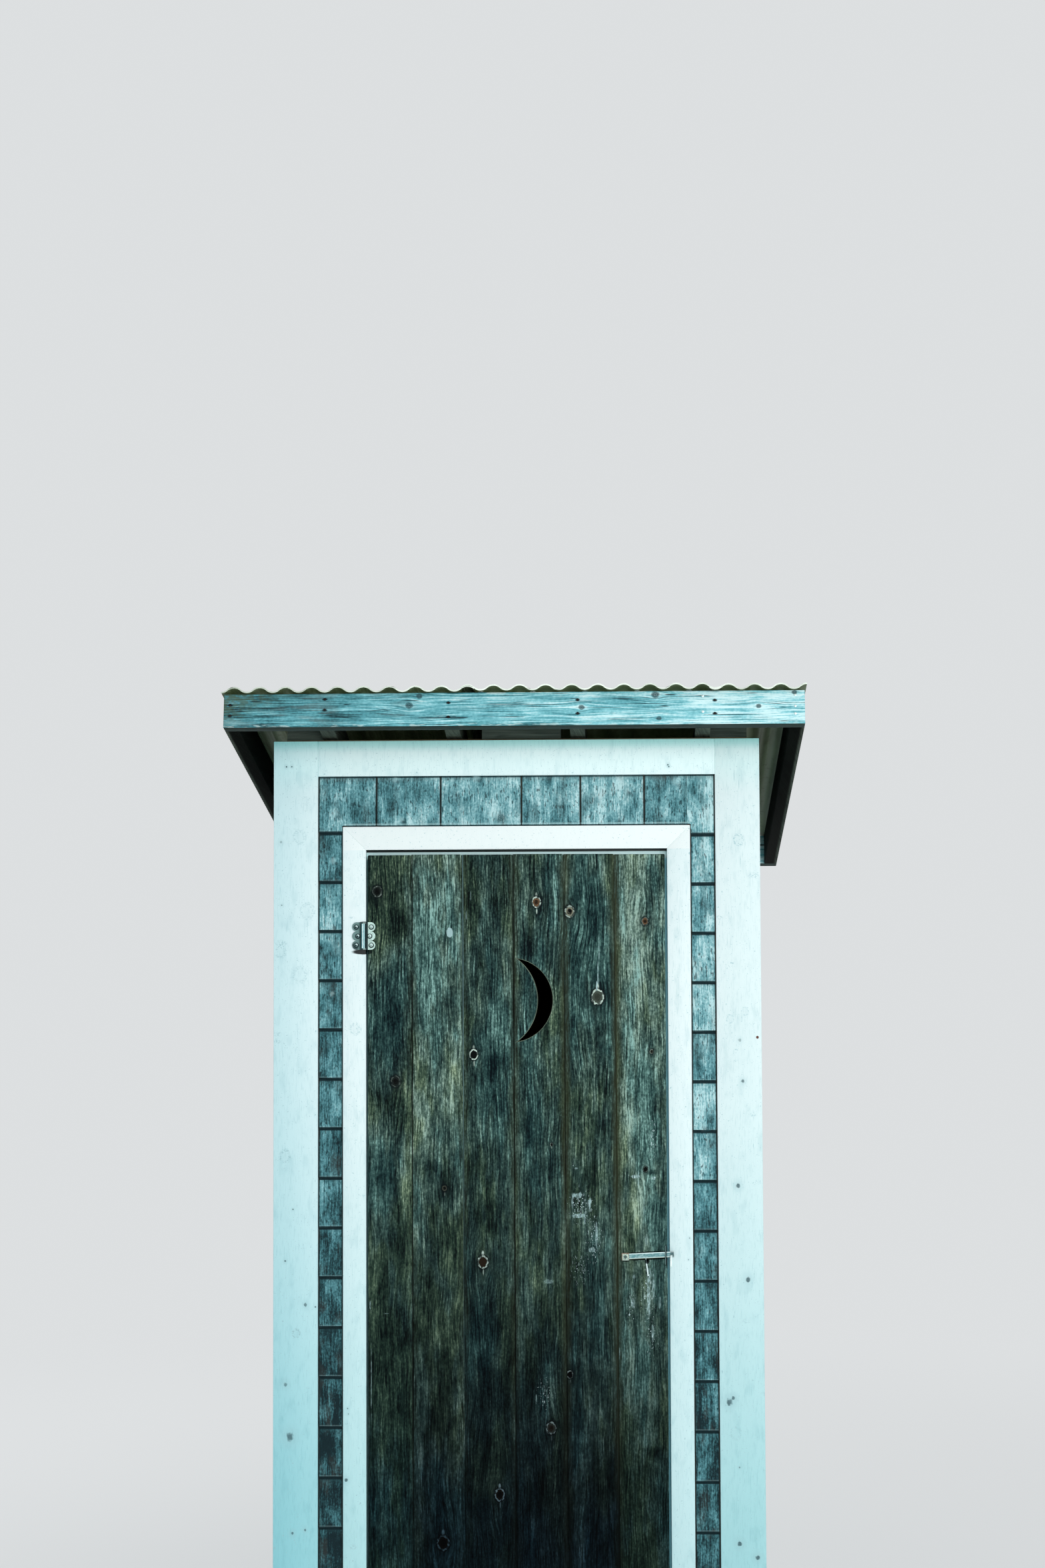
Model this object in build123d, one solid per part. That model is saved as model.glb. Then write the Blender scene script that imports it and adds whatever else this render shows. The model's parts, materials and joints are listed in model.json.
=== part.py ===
from build123d import *
from math import asin, ceil, cos, radians, sin, tan
import os

# A small wooden outhouse: a framed box on two skids, shingled walls, painted trim,
# a board door with a crescent cut-out, and a mono-pitch roof of corrugated sheet
# that falls from the front to the back. All sizes are in millimetres.
# While it is built, y = 0 is the face of the front trim and y grows to the back.
# X is measured from the middle of the front, and z = 0 is the ground.

# Lumber
two_by = 38.0            # thickness of the framing lumber
framing_depth = 89.0     # width of the framing lumber
skid_size = 89.0         # side of the square skids
trim_thickness = 19.0    # boards of the trim, door and jambs
sheathing_thickness = 12.0
deck_thickness = 22.0

# Body
body_width = 1260.0      # over the side corner boards
body_depth = 1400.0      # over the front and back corner boards
front_height = 2438.0    # ground to the top of the front frieze
siding_bottom = 29.0     # ground to the lower edge of the walls

# Roof
roof_slope = 10.0        # degrees of fall from front to back
eave_gap = 10.0          # front frieze top to the underside of the rafters
rafter_depth = 76.0
rafter_inset = 31.0      # front corner board's inner edge to the outer rafter's middle
vent_left = 53.0         # gaps beside the short block of the front's middle bay
vent_right = 26.0
front_overhang = 140.0   # along the slope, trim face to the fascia's face
back_overhang = 165.0    # along the slope, back trim face to the rear fascia's face
fascia_depth = 89.0
side_overhang = 111.5    # side corner boards to the end of the fascia
sheet_lip = 18.0         # how far the sheet runs past the fascia
sheet_thickness = 1.2
wave_pitch = 66.4
wave_depth = 12.7        # crest to trough of the sheet's middle line
sheet_halves = 20        # half waves of one full sheet
lap_halves = 1           # half waves that two sheets share
seat_gap = 0.3           # between curved faces, and between moving and fixed ones

# Trim on the walls
corner_board_width = 115.0
side_board_width = 89.0
frieze_width = 92.0
casing_width = 60.0
strip_width = 65.0       # shingles between a casing and a front corner board

# Shingles
exposure = 127.15        # height of a course
first_butt_drop = 243.2  # front frieze top to the highest butt line of the front
butt_thickness = 15.0    # siding thickness at the foot of a course
course_taper = 8.0       # how much thinner a course is one exposure higher
least_course = 40.0      # a course left shorter than this is one with the next

# Doorway and door
doorway_drop = 283.5     # front frieze top to the underside of the head casing
floor_height = 200.0
stop_projection = 18.0
stop_depth = 38.0
head_stop_height = 32.0
sill_thickness = 25.0
sill_nosing = 20.0
door_gap_hinge = 5.0
door_gap_latch = 6.0
door_gap_top = 13.0
door_gap_bottom = 5.0
stop_gap = 5.0
first_board = 115.0      # the ripped board at the hinge side
board_pitch = 131.5
groove_width = 6.0
groove_depth = 2.5
ledge_width = 114.0
ledge_inset = 20.0       # from the door's edges to the ends of the ledges
low_ledge_rise = 80.0    # door bottom to the middle of the lowest ledge
middle_ledge_drop = 121.5   # latch pivot to the middle of the ledge under it
high_ledge_drop = 190.0  # door top to the middle of the highest ledge
brace_width = 89.0
brace_lean = 60.0        # degrees above level of the cuts that a brace's width is measured on

# Crescent, opening to the hinge side
moon_height = 213.0      # tip to tip
moon_outer_bulge = 91.0
moon_inner_bulge = 52.6
moon_tip_x = 2.0
moon_drop = 377.0        # door top to the middle of the crescent

# Hinges
hinge_drop = 210.0       # door top to the middle of the upper hinge
low_hinge_rise = 70.0    # door bottom to the middle of the lower hinge
hinge_half_height = 35.5
barrel_half_height = 31.5
barrel_radius = 6.0
pin_radius = 2.5
pin_play = 0.2
barrel_offset = 5.5      # casing's inner edge to the middle of the barrel
leaf_thickness = 2.2
leaf_reach = 30.0        # barrel middle to the tips of the scallops
lobe_radius = 11.8
knuckle_half = 10.0      # half the height of the door's knuckle
knuckle_gap = 0.6

# Latch
strike_offset = 3.5      # casing's inner edge to the middle of the strike
bar_reach = 117.0        # pivot to the middle of the strike
bar_tip = 7.0            # how far the bar runs past it
latch_drop = 1033.0      # door top to the pivot
latch_plate_size = 18.5
latch_plate_thickness = 2.0
bar_height = 14.0
bar_thickness = 3.0
bar_standoff = 5.0       # door face to the bar
bar_rise = 2.8           # degrees above level at rest
plate_play = 0.5         # bar to the pivot plate
boss_radius = 3.0
boss_play = 0.3
keeper_inset = 4.0       # door's edge to the middle of the keeper
keeper_width = 3.5
keeper_room_above = 13.5
keeper_room_below = 15.5
keeper_wire = 2.5
keeper_play = 2.0        # bar to the keeper's front
lifter_offset = 51.5     # pivot to the lifter
lifter_radius = 1.7
lifter_drop = 42.0
lifter_lean = 6.4
hole_offset = 54.5       # pivot to the hole under the bar
hole_radius = 4.5
hole_below_pivot = 10.3
strike_width = 4.0
strike_height = 29.0
strike_thickness = 2.0
strike_engagement = 4.5  # how far the strike's tongue stands in the bar's notch
tongue_reach = 1.0       # how far the tongue stands out past the bar's face
notch_side_play = 2.0
notch_top_play = 1.5

cut_excess = 5.0         # how far a cut runs past the faces that it goes through

# Derived places
half_width = body_width / 2
sheathing_x = half_width - trim_thickness
framing_x = sheathing_x - sheathing_thickness
inside_x = framing_x - framing_depth
sheathing_y = trim_thickness
framing_y = sheathing_y + sheathing_thickness
inside_y = framing_y + framing_depth
back_inside_y = body_depth - inside_y
back_framing_y = body_depth - framing_y
back_sheathing_y = body_depth - sheathing_y
slope_tan = tan(radians(roof_slope))
slope_cos = cos(radians(roof_slope))
slope_sin = sin(radians(roof_slope))
roof_plane_z = front_height + eave_gap + rafter_depth / slope_cos
roof_run_end = body_depth / slope_cos + back_overhang
fascia_length = body_width + 2 * side_overhang
wave_half = wave_pitch / 2
wave_halves = ceil(fascia_length / wave_half)
wave_rise = wave_depth / 2
wave_radius = ((wave_half / 2) ** 2 + wave_rise ** 2) / (2 * wave_rise)
wave_turn = asin(wave_half / 2 / wave_radius)
trim_inner_x = half_width - corner_board_width
casing_half = trim_inner_x - strip_width
doorway_half = casing_half - casing_width
jamb_half = doorway_half + trim_thickness
outer_joist = framing_x - two_by / 2
outer_rafter = trim_inner_x - rafter_inset
head_z = front_height - doorway_drop
head_jamb_top = head_z + trim_thickness
door_left = -doorway_half + door_gap_hinge
door_right = doorway_half - door_gap_latch
door_top = head_z - door_gap_top
door_bottom = floor_height + door_gap_bottom
stop_y = trim_thickness + stop_gap
deck_bottom = floor_height - deck_thickness
sill_bottom = floor_height - sill_thickness
first_butt = front_height - first_butt_drop
barrel_y = -seat_gap - barrel_radius
barrel_x = -doorway_half - barrel_offset
strike_x = doorway_half + strike_offset
latch_x = strike_x - bar_reach
latch_z = door_top - latch_drop
ledge_middles = (door_bottom + low_ledge_rise, latch_z - middle_ledge_drop,
                 door_top - high_ledge_drop)

# The whole model moves back or forth so that y = 0 is the middle of the roof
sheet_top = seat_gap + wave_depth + sheet_thickness
roof_front_y = -(front_overhang + sheet_lip) * slope_cos + seat_gap * slope_sin
roof_back_y = (roof_run_end + sheet_lip) * slope_cos + sheet_top * slope_sin
centring = Pos(0, -(roof_front_y + roof_back_y) / 2, 0)

# From the roof's own frame (x, distance down the slope, height over the rafters)
roof_frame = Pos(0, 0, roof_plane_z) * Rot(-roof_slope, 0, 0)


def slab(x0, x1, y0, y1, z0, z1):
    """A box between two corners."""
    middle = Pos((x0 + x1) / 2, (y0 + y1) / 2, (z0 + z1) / 2)
    return middle * Box(abs(x1 - x0), abs(y1 - y0), abs(z1 - z0))


def prism_x(points, x0, x1):
    """A prism along X, its outline given as (y, z) points."""
    outline = Plane.YZ.offset(x0) * make_face(Polyline(*points, close=True))
    return extrude(outline, x1 - x0)


def prism_y(points, y0, y1):
    """A prism along Y, its outline given as (x, z) points."""
    outline = Plane.XZ.offset(-y0) * make_face(Polyline(*points, close=True))
    return extrude(outline, y1 - y0, dir=(0, 1, 0))


def seat_z(y):
    """Height of the rafters' underside."""
    return front_height + eave_gap - slope_tan * y


def trim_z(y):
    """Height of the trim's top edge, one eave gap below the rafters."""
    return front_height - slope_tan * y


def mirrored(shape):
    """A shape and its copy on the other side of the building."""
    return [shape, mirror(shape, about=Plane.YZ)]


def from_back(shape):
    """The same shape at the back wall, seen from behind."""
    return Pos(0, body_depth, 0) * Rot(0, 0, 180) * shape


def write(name, pieces):
    """Write one named node, with its pieces as separate solids."""
    solids = []
    for piece in pieces:
        solids.extend((centring * piece).solids())
    shape = solids[0] if len(solids) == 1 else Compound(children=solids)
    export_step(shape, f"parts/{name}.step")


def make_floor():
    """Skids, floor frame and deck."""
    skid = slab(framing_x - skid_size, framing_x, framing_y, back_framing_y, 0, skid_size)
    write("skids", mirrored(skid))
    rim = slab(-framing_x, framing_x, framing_y, framing_y + two_by, skid_size, deck_bottom)
    write("floor_rims", [rim, from_back(rim)])
    joists = []
    for offset in (outer_joist / 3, outer_joist):
        joists += mirrored(slab(offset - two_by / 2, offset + two_by / 2, framing_y + two_by,
                                back_framing_y - two_by, skid_size, deck_bottom))
    write("floor_joists", joists)
    write("floor_deck", [slab(-framing_x, framing_x, framing_y, back_framing_y,
                              deck_bottom, floor_height)])


def make_frame():
    """Plates, studs and header of the four walls."""
    plate_top = floor_height + two_by
    front_sole = slab(jamb_half, framing_x, framing_y, inside_y, floor_height, plate_top)
    back_sole = slab(-framing_x, framing_x, back_inside_y, back_framing_y, floor_height, plate_top)
    write("sole_plates_cross", mirrored(front_sole) + [back_sole])
    side_sole = slab(inside_x, framing_x, inside_y, back_inside_y, floor_height, plate_top)
    write("sole_plates_side", mirrored(side_sole))

    front_plate_z = seat_z(inside_y) - two_by
    front_plate = prism_x([(framing_y, front_plate_z), (inside_y, front_plate_z),
                           (inside_y, seat_z(inside_y)), (framing_y, seat_z(framing_y))],
                          -framing_x, framing_x)
    back_plate_z = seat_z(back_framing_y) - two_by
    back_plate = prism_x([(back_inside_y, back_plate_z), (back_framing_y, back_plate_z),
                          (back_framing_y, seat_z(back_framing_y)),
                          (back_inside_y, seat_z(back_inside_y))], -framing_x, framing_x)
    write("top_plates_cross", [front_plate, back_plate])

    drop = two_by / slope_cos
    side_plate = prism_x([(inside_y, seat_z(inside_y)), (back_inside_y, seat_z(back_inside_y)),
                          (back_inside_y, seat_z(back_inside_y) - drop),
                          (inside_y, seat_z(inside_y) - drop)], inside_x, framing_x)
    write("top_plates_side", mirrored(side_plate))

    header_bottom = head_jamb_top
    header_top = header_bottom + framing_depth
    write("door_header", [slab(-jamb_half, jamb_half, framing_y, inside_y,
                               header_bottom, header_top)])

    corner_stud = slab(framing_x - two_by, framing_x, framing_y, inside_y,
                       plate_top, front_plate_z)
    jamb_stud = slab(jamb_half, jamb_half + two_by, framing_y, inside_y,
                     plate_top, front_plate_z)
    cripple = slab(-two_by / 2, two_by / 2, framing_y, inside_y,
                   header_top, front_plate_z)
    write("front_studs", mirrored(corner_stud) + mirrored(jamb_stud) + [cripple])

    back_studs = mirrored(slab(framing_x - two_by, framing_x, back_inside_y, back_framing_y,
                               plate_top, back_plate_z))
    back_studs.append(slab(-two_by / 2, two_by / 2, back_inside_y, back_framing_y,
                           plate_top, back_plate_z))
    write("back_studs", back_studs)

    side_studs = []
    middle_y = (inside_y + back_inside_y) / 2
    for stud_y in (inside_y, middle_y - two_by / 2, back_inside_y - two_by):
        stud_end = stud_y + two_by
        side_studs += mirrored(prism_x([(stud_y, plate_top), (stud_end, plate_top),
                                        (stud_end, seat_z(stud_end) - drop),
                                        (stud_y, seat_z(stud_y) - drop)], inside_x, framing_x))
    write("side_studs", side_studs)


def make_sheathing():
    """Flat panels that the shingles are nailed to."""
    beside = slab(jamb_half, sheathing_x, sheathing_y, framing_y, siding_bottom, front_height)
    write("sheathing_front_sides", mirrored(beside))
    over = slab(-jamb_half, jamb_half, sheathing_y, framing_y, head_jamb_top, front_height)
    under = slab(-jamb_half, jamb_half, sheathing_y, framing_y, siding_bottom, sill_bottom)
    write("sheathing_door_bay", [over, under])
    write("sheathing_back", [slab(-sheathing_x, sheathing_x, back_framing_y, back_sheathing_y,
                                  siding_bottom, trim_z(back_sheathing_y))])
    side = prism_x([(framing_y, siding_bottom), (back_framing_y, siding_bottom),
                    (back_framing_y, trim_z(back_framing_y)), (framing_y, trim_z(framing_y))],
                   framing_x, sheathing_x)
    right, left = mirrored(side)
    write("sheathing_right", [right])
    write("sheathing_left", [left])


def course_profile(low, high):
    """Stepped section of the courses between two heights, as (thickness, z) points."""
    count = int((first_butt - low) / exposure) + 1
    butts = [first_butt - k * exposure for k in range(count, -3, -1)]
    butts = [z for z in butts if low < z < high - least_course]
    starts = [low] + butts
    ends = butts + [high]
    points = [(0, low)]
    for start, end in zip(starts, ends):
        butt = start if start in butts else first_butt - ceil_steps(first_butt - start) * exposure
        for z in (start, end):
            points.append((butt_thickness - course_taper * (z - butt) / exposure, z))
    points.append((0, high))
    return points


def ceil_steps(distance):
    """Whole exposures that cover a distance."""
    steps = int(distance / exposure)
    return steps if steps * exposure >= distance - seat_gap else steps + 1


def make_shingles():
    """Shingle courses, each with its taper and its thick butt."""
    frieze_bottom = front_height - frieze_width

    def front_strip(low, high, x0, x1):
        points = [(sheathing_y - t, z) for t, z in course_profile(low, high)]
        return prism_x(points, x0, x1)

    strip = front_strip(siding_bottom, frieze_bottom, casing_half, trim_inner_x)
    write("shingles_front_sides", mirrored(strip))
    over = front_strip(head_z + casing_width, frieze_bottom, -casing_half, casing_half)
    under = front_strip(siding_bottom, sill_bottom, -casing_half, casing_half)
    write("shingles_door_bay", [over, under])

    back_bottom = trim_z(body_depth) - frieze_width
    points = [(back_sheathing_y + t, z) for t, z in course_profile(siding_bottom, back_bottom)]
    write("shingles_back", [prism_x(points, -trim_inner_x, trim_inner_x)])

    front_edge = sheathing_y + side_board_width
    back_edge = back_sheathing_y - side_board_width
    side_drop = frieze_width / slope_cos
    highest = trim_z(front_edge) - side_drop
    points = [(sheathing_x + t, z) for t, z in course_profile(siding_bottom, highest)]
    courses = prism_y(points, front_edge, back_edge)
    under_frieze = prism_x([(front_edge, siding_bottom), (back_edge, siding_bottom),
                            (back_edge, trim_z(back_edge) - side_drop), (front_edge, highest)],
                           sheathing_x, half_width)
    right, left = mirrored(courses & under_frieze)
    write("shingles_right", [right])
    write("shingles_left", [left])


def make_trim():
    """Corner boards and friezes."""
    front_board = slab(trim_inner_x, half_width, 0, sheathing_y, siding_bottom, front_height)
    write("corner_boards_front", mirrored(front_board))
    back_top = trim_z(body_depth)
    back_board = slab(trim_inner_x, half_width, back_sheathing_y, body_depth,
                      siding_bottom, back_top)
    write("corner_boards_back", mirrored(back_board))

    side_boards = []
    for y0 in (sheathing_y, back_sheathing_y - side_board_width):
        y1 = y0 + side_board_width
        side_boards += mirrored(prism_x([(y0, siding_bottom), (y1, siding_bottom),
                                         (y1, trim_z(y1)), (y0, trim_z(y0))],
                                        sheathing_x, half_width))
    write("corner_boards_side", side_boards)

    write("frieze_front", [slab(-trim_inner_x, trim_inner_x, 0, sheathing_y,
                                front_height - frieze_width, front_height)])
    write("frieze_back", [slab(-trim_inner_x, trim_inner_x, back_sheathing_y, body_depth,
                               back_top - frieze_width, back_top)])
    y0 = sheathing_y + side_board_width
    y1 = back_sheathing_y - side_board_width
    drop = frieze_width / slope_cos
    side_frieze = prism_x([(y0, trim_z(y0) - drop), (y1, trim_z(y1) - drop),
                           (y1, trim_z(y1)), (y0, trim_z(y0))], sheathing_x, half_width)
    write("friezes_side", mirrored(side_frieze))


def make_doorway():
    """Mitred casings, jambs, stops and sill."""
    casing_top = head_z + casing_width
    side = prism_y([(doorway_half, floor_height), (casing_half, floor_height),
                    (casing_half, casing_top), (doorway_half, head_z)], 0, sheathing_y)
    write("door_casing_sides", mirrored(side))
    head = prism_y([(-doorway_half, head_z), (doorway_half, head_z),
                    (casing_half, casing_top), (-casing_half, casing_top)], 0, sheathing_y)
    write("door_casing_head", [head])

    jamb = slab(doorway_half, jamb_half, sheathing_y, inside_y, floor_height, head_z)
    write("door_jambs", mirrored(jamb))
    write("door_head_jamb", [slab(-jamb_half, jamb_half, sheathing_y, inside_y,
                                  head_z, head_jamb_top)])
    stop_inner = doorway_half - stop_projection
    stop = slab(stop_inner, doorway_half, stop_y, stop_y + stop_depth, floor_height, head_z)
    write("door_side_stops", mirrored(stop))
    write("door_head_stop", [slab(-stop_inner, stop_inner, stop_y, stop_y + stop_depth,
                                  head_z - head_stop_height, head_z)])
    nosing = slab(-casing_half, casing_half, -sill_nosing, sheathing_y,
                  sill_bottom, floor_height)
    tail = slab(-jamb_half, jamb_half, sheathing_y, framing_y, sill_bottom, floor_height)
    write("door_sill", [nosing + tail])


def make_roof_frame():
    """Rafters, rake boards, fascias and the blocks between the rafters."""
    front_u = -front_overhang
    rafters = []
    for offset in (outer_rafter / 3, outer_rafter):
        rafter = slab(offset - two_by / 2, offset + two_by / 2, front_u + two_by,
                      roof_run_end - two_by, -rafter_depth, 0)
        rafters += mirrored(roof_frame * rafter)
    write("rafters", rafters)

    half_roof = fascia_length / 2
    rake = slab(half_roof - two_by, half_roof, front_u + two_by, roof_run_end - two_by,
                -fascia_depth, 0)
    write("rake_boards", mirrored(roof_frame * rake))
    front_fascia = slab(-half_roof, half_roof, front_u, front_u + two_by, -fascia_depth, 0)
    write("fascia_front", [roof_frame * front_fascia])
    rear_fascia = slab(-half_roof, half_roof, roof_run_end - two_by, roof_run_end,
                       -fascia_depth, 0)
    write("fascia_rear", [roof_frame * rear_fascia])

    edge = two_by / 2
    outer = outer_rafter
    inner = outer_rafter / 3
    front_bays = [(outer + edge, framing_x), (-framing_x, -outer - edge),
                  (-inner + edge + vent_left, inner - edge - vent_right)]
    back_bays = [(outer + edge, framing_x), (inner + edge, outer - edge),
                 (-inner + edge, inner - edge), (-outer + edge, -inner - edge),
                 (-framing_x, -outer - edge)]
    front_block_u = framing_y / slope_cos + rafter_depth * slope_tan
    back_block_u = back_framing_y / slope_cos - two_by
    blocks = []
    for bays, u in ((front_bays, front_block_u), (back_bays, back_block_u)):
        for x0, x1 in bays:
            blocks.append(roof_frame * slab(x0, x1, u, u + two_by, -rafter_depth, 0))
    write("eave_blocks", blocks)


def corrugated(arcs, lift):
    """A corrugated sheet in the roof's frame, its section made of tangent arcs.

    Arc 0 is the trough at the roof's left edge and the last arc is the crest at its
    right edge: of these two only the inner half is there.
    """
    mid_height = lift + seat_gap + sheet_thickness / 2 + wave_rise
    left_edge = -wave_halves * wave_half / 2

    def chain(offset):
        """Arcs along one face of the sheet, offset from its middle line."""
        curves = []
        for k in arcs:
            side = 1 if k % 2 else -1
            middle_x = left_edge + k * wave_half
            centre_z = mid_height - side * (wave_radius - wave_rise)
            reach = wave_radius + side * offset
            start = 0 if k == 0 else -wave_turn
            end = 0 if k == wave_halves else wave_turn
            points = []
            for angle in (start, (start + end) / 2, end):
                points.append((middle_x + reach * sin(angle), centre_z + side * reach * cos(angle)))
            curves.append(ThreePointArc(*points))
        return curves

    half_thick = sheet_thickness / 2
    top = chain(half_thick)
    bottom = chain(-half_thick)
    ends = [Line(bottom[0] @ 0, top[0] @ 0), Line(bottom[-1] @ 1, top[-1] @ 1)]
    section = make_face(Curve() + top + bottom + ends)
    front_edge = -front_overhang - sheet_lip
    length = roof_run_end + sheet_lip - front_edge
    sheet = extrude(Plane.XZ.offset(-front_edge) * section, length, dir=(0, 1, 0))
    return roof_frame * sheet


def make_roof_sheets():
    """Three corrugated sheets; the middle one laps over its neighbours."""
    step = sheet_halves - lap_halves
    left = corrugated(range(0, sheet_halves), 0)
    right = corrugated(range(2 * step, wave_halves + 1), 0)
    write("roof_sheets_outer", [left, right])
    lift = (sheet_thickness + seat_gap) / cos(wave_turn)
    write("roof_sheet_middle", [corrugated(range(step, step + sheet_halves), lift)])


def make_door():
    """Grooved boards with the crescent cut through, ledges and braces."""
    height = door_top - door_bottom
    boards = slab(door_left, door_right, 0, trim_thickness, door_bottom, door_top)
    joint = door_left + first_board
    while joint < door_right - groove_width:
        for face_y, inward in ((0, 1), (trim_thickness, -1)):
            groove = [(joint - groove_width / 2, face_y), (joint + groove_width / 2, face_y),
                      (joint, face_y + inward * groove_depth)]
            outline = Plane.XY.offset(door_bottom) * make_face(Polyline(*groove, close=True))
            boards -= extrude(outline, height)
        joint += board_pitch
    boards -= crescent()
    hole_place = Pos(latch_x + hole_offset, 0, latch_z - hole_below_pivot)
    boards -= hole_place * Rot(90, 0, 0) * Cylinder(hole_radius, 2 * (trim_thickness + cut_excess))
    write("door_boards", [boards])

    left = door_left + ledge_inset
    right = door_right - ledge_inset
    back = trim_thickness * 2
    ledges = []
    for z in ledge_middles:
        ledges.append(slab(left, right, trim_thickness, back,
                           z - ledge_width / 2, z + ledge_width / 2))
    write("door_ledges", ledges)

    braces = []
    for low, high in zip(ledge_middles, ledge_middles[1:]):
        z0 = low + ledge_width / 2
        z1 = high - ledge_width / 2
        foot = brace_width / sin(radians(brace_lean))
        braces.append(prism_y([(left, z0), (left + foot, z0), (right, z1), (right - foot, z1)],
                              trim_thickness, back))
    write("door_braces", braces)


def crescent():
    """The moon-shaped cutter, between its outer and its inner arc."""
    half = moon_height / 2
    middle_z = door_top - moon_drop
    tip_low = (moon_tip_x, middle_z - half)
    tip_high = (moon_tip_x, middle_z + half)
    outer = ThreePointArc(tip_low, (moon_tip_x + moon_outer_bulge, middle_z), tip_high)
    inner = ThreePointArc(tip_high, (moon_tip_x + moon_inner_bulge, middle_z), tip_low)
    section = Plane.XZ.offset(cut_excess) * make_face(Curve() + [outer, inner])
    return extrude(section, trim_thickness + 2 * cut_excess, dir=(0, 1, 0))


def hinge_leaf(side):
    """A scalloped leaf with its knuckles, around z = 0. Side is 1 for the door's leaf."""
    front = -seat_gap - leaf_thickness
    lobe_x = barrel_x + side * (leaf_reach - lobe_radius)
    lobe_z = hinge_half_height - lobe_radius
    plate = slab(barrel_x, lobe_x, front, -seat_gap, -hinge_half_height, hinge_half_height)
    for z in (-lobe_z, 0, lobe_z):
        lobe = Pos(lobe_x, front + leaf_thickness / 2, z) * Rot(90, 0, 0) * Cylinder(
            lobe_radius, leaf_thickness)
        plate += lobe
    barrel = Pos(barrel_x, barrel_y, 0) * Cylinder(barrel_radius, 2 * barrel_half_height)
    middle_zone = Pos(barrel_x, barrel_y, 0)
    room = barrel_radius + 2 * seat_gap
    if side == 1:
        ends = hinge_half_height - knuckle_half
        for sign in (-1, 1):
            z = sign * (knuckle_half + ends)
            plate -= Pos(barrel_x, barrel_y, z) * Cylinder(room, 2 * ends)
        knuckle = middle_zone * Cylinder(barrel_radius, 2 * knuckle_half)
        bore = middle_zone * Cylinder(pin_radius + pin_play, 2 * hinge_half_height)
        return (plate + knuckle) - bore
    gap_half = knuckle_half + knuckle_gap
    plate -= middle_zone * Cylinder(room, 2 * gap_half)
    barrel -= middle_zone * Cylinder(room, 2 * gap_half)
    pin = middle_zone * Cylinder(pin_radius, 2 * barrel_half_height)
    return plate + barrel + pin


def make_hinges():
    """Two surface hinges, their frame leaves with the pins fixed in them."""
    heights = (door_top - hinge_drop, door_bottom + low_hinge_rise)
    write("hinge_frame_leaves", [Pos(0, 0, z) * hinge_leaf(-1) for z in heights])
    write("hinge_door_leaves", [Pos(0, 0, z) * hinge_leaf(1) for z in heights])


def make_latch():
    """A lift latch: pivot plate, bar with a notch and lifter, keeper and strike."""
    pivot = Pos(latch_x, 0, latch_z)
    bar_back = -bar_standoff
    bar_front = bar_back - bar_thickness
    plate_back = bar_front - plate_play
    half_plate = latch_plate_size / 2
    plate = slab(-half_plate, half_plate, plate_back - latch_plate_thickness, plate_back,
                 -half_plate, half_plate)
    boss = Pos(0, plate_back / 2, 0) * Rot(90, 0, 0) * Cylinder(boss_radius, -plate_back)
    write("latch_plate", [pivot * (plate + boss)])

    half_bar = bar_height / 2
    bar = slab(0, bar_reach + bar_tip, bar_front, bar_back, -half_bar, half_bar)
    end_disc = Pos(0, (bar_front + bar_back) / 2, 0) * Rot(90, 0, 0) * Cylinder(
        half_bar, bar_thickness)
    boss_hole = Rot(90, 0, 0) * Cylinder(boss_radius + boss_play, 2 * (cut_excess - bar_front))
    bar = Rot(0, -bar_rise, 0) * (bar + end_disc - boss_hole)
    rise_tan = tan(radians(bar_rise))
    bar_bottom = bar_reach * rise_tan - half_bar / cos(radians(bar_rise))
    notch_half = strike_width / 2 + notch_side_play
    notch_top = bar_bottom + strike_engagement + notch_top_play
    bar -= slab(bar_reach - notch_half, bar_reach + notch_half,
                bar_front - cut_excess, bar_back + cut_excess, bar_bottom - half_bar, notch_top)
    lifter_start = (lifter_offset, (bar_front + bar_back) / 2, 0)
    lifter_end = (lifter_start[0] + lifter_lean, lifter_start[1], -half_bar - lifter_drop)
    lifter = Plane(origin=lifter_start, z_dir=Vector(lifter_end) - Vector(lifter_start))
    length = (Vector(lifter_end) - Vector(lifter_start)).length
    bar += lifter * Cylinder(lifter_radius, length, align=(Align.CENTER, Align.CENTER, Align.MIN))
    write("latch_bar", [pivot * bar])

    keeper_front = bar_front - keeper_play
    half_keeper = keeper_width / 2
    keeper_x = door_right - keeper_inset
    bar_middle = latch_z + (keeper_x - latch_x) * rise_tan
    room_top = bar_middle + half_bar + keeper_room_above
    room_bottom = bar_middle - half_bar - keeper_room_below
    loop = slab(keeper_x - half_keeper, keeper_x + half_keeper, keeper_front - keeper_wire, 0,
                room_bottom - keeper_wire, room_top + keeper_wire)
    loop -= slab(keeper_x - keeper_width, keeper_x + keeper_width, keeper_front, cut_excess,
                 room_bottom, room_top)
    write("latch_keeper", [loop])

    tongue_top = latch_z + bar_bottom + strike_engagement
    half_strike = strike_width / 2
    plate = slab(strike_x - half_strike, strike_x + half_strike, -strike_thickness, 0,
                 tongue_top - strike_height, tongue_top)
    tongue = slab(strike_x - half_strike, strike_x + half_strike, bar_front - tongue_reach, 0,
                  tongue_top - strike_thickness, tongue_top)
    write("latch_strike", [plate + tongue])


os.makedirs("parts", exist_ok=True)
make_floor()
make_frame()
make_sheathing()
make_shingles()
make_trim()
make_doorway()
make_roof_frame()
make_roof_sheets()
make_door()
make_hinges()
make_latch()
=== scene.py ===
import json
import math
import random
from collections import namedtuple

import bpy
from mathutils import Matrix, Vector

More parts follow.
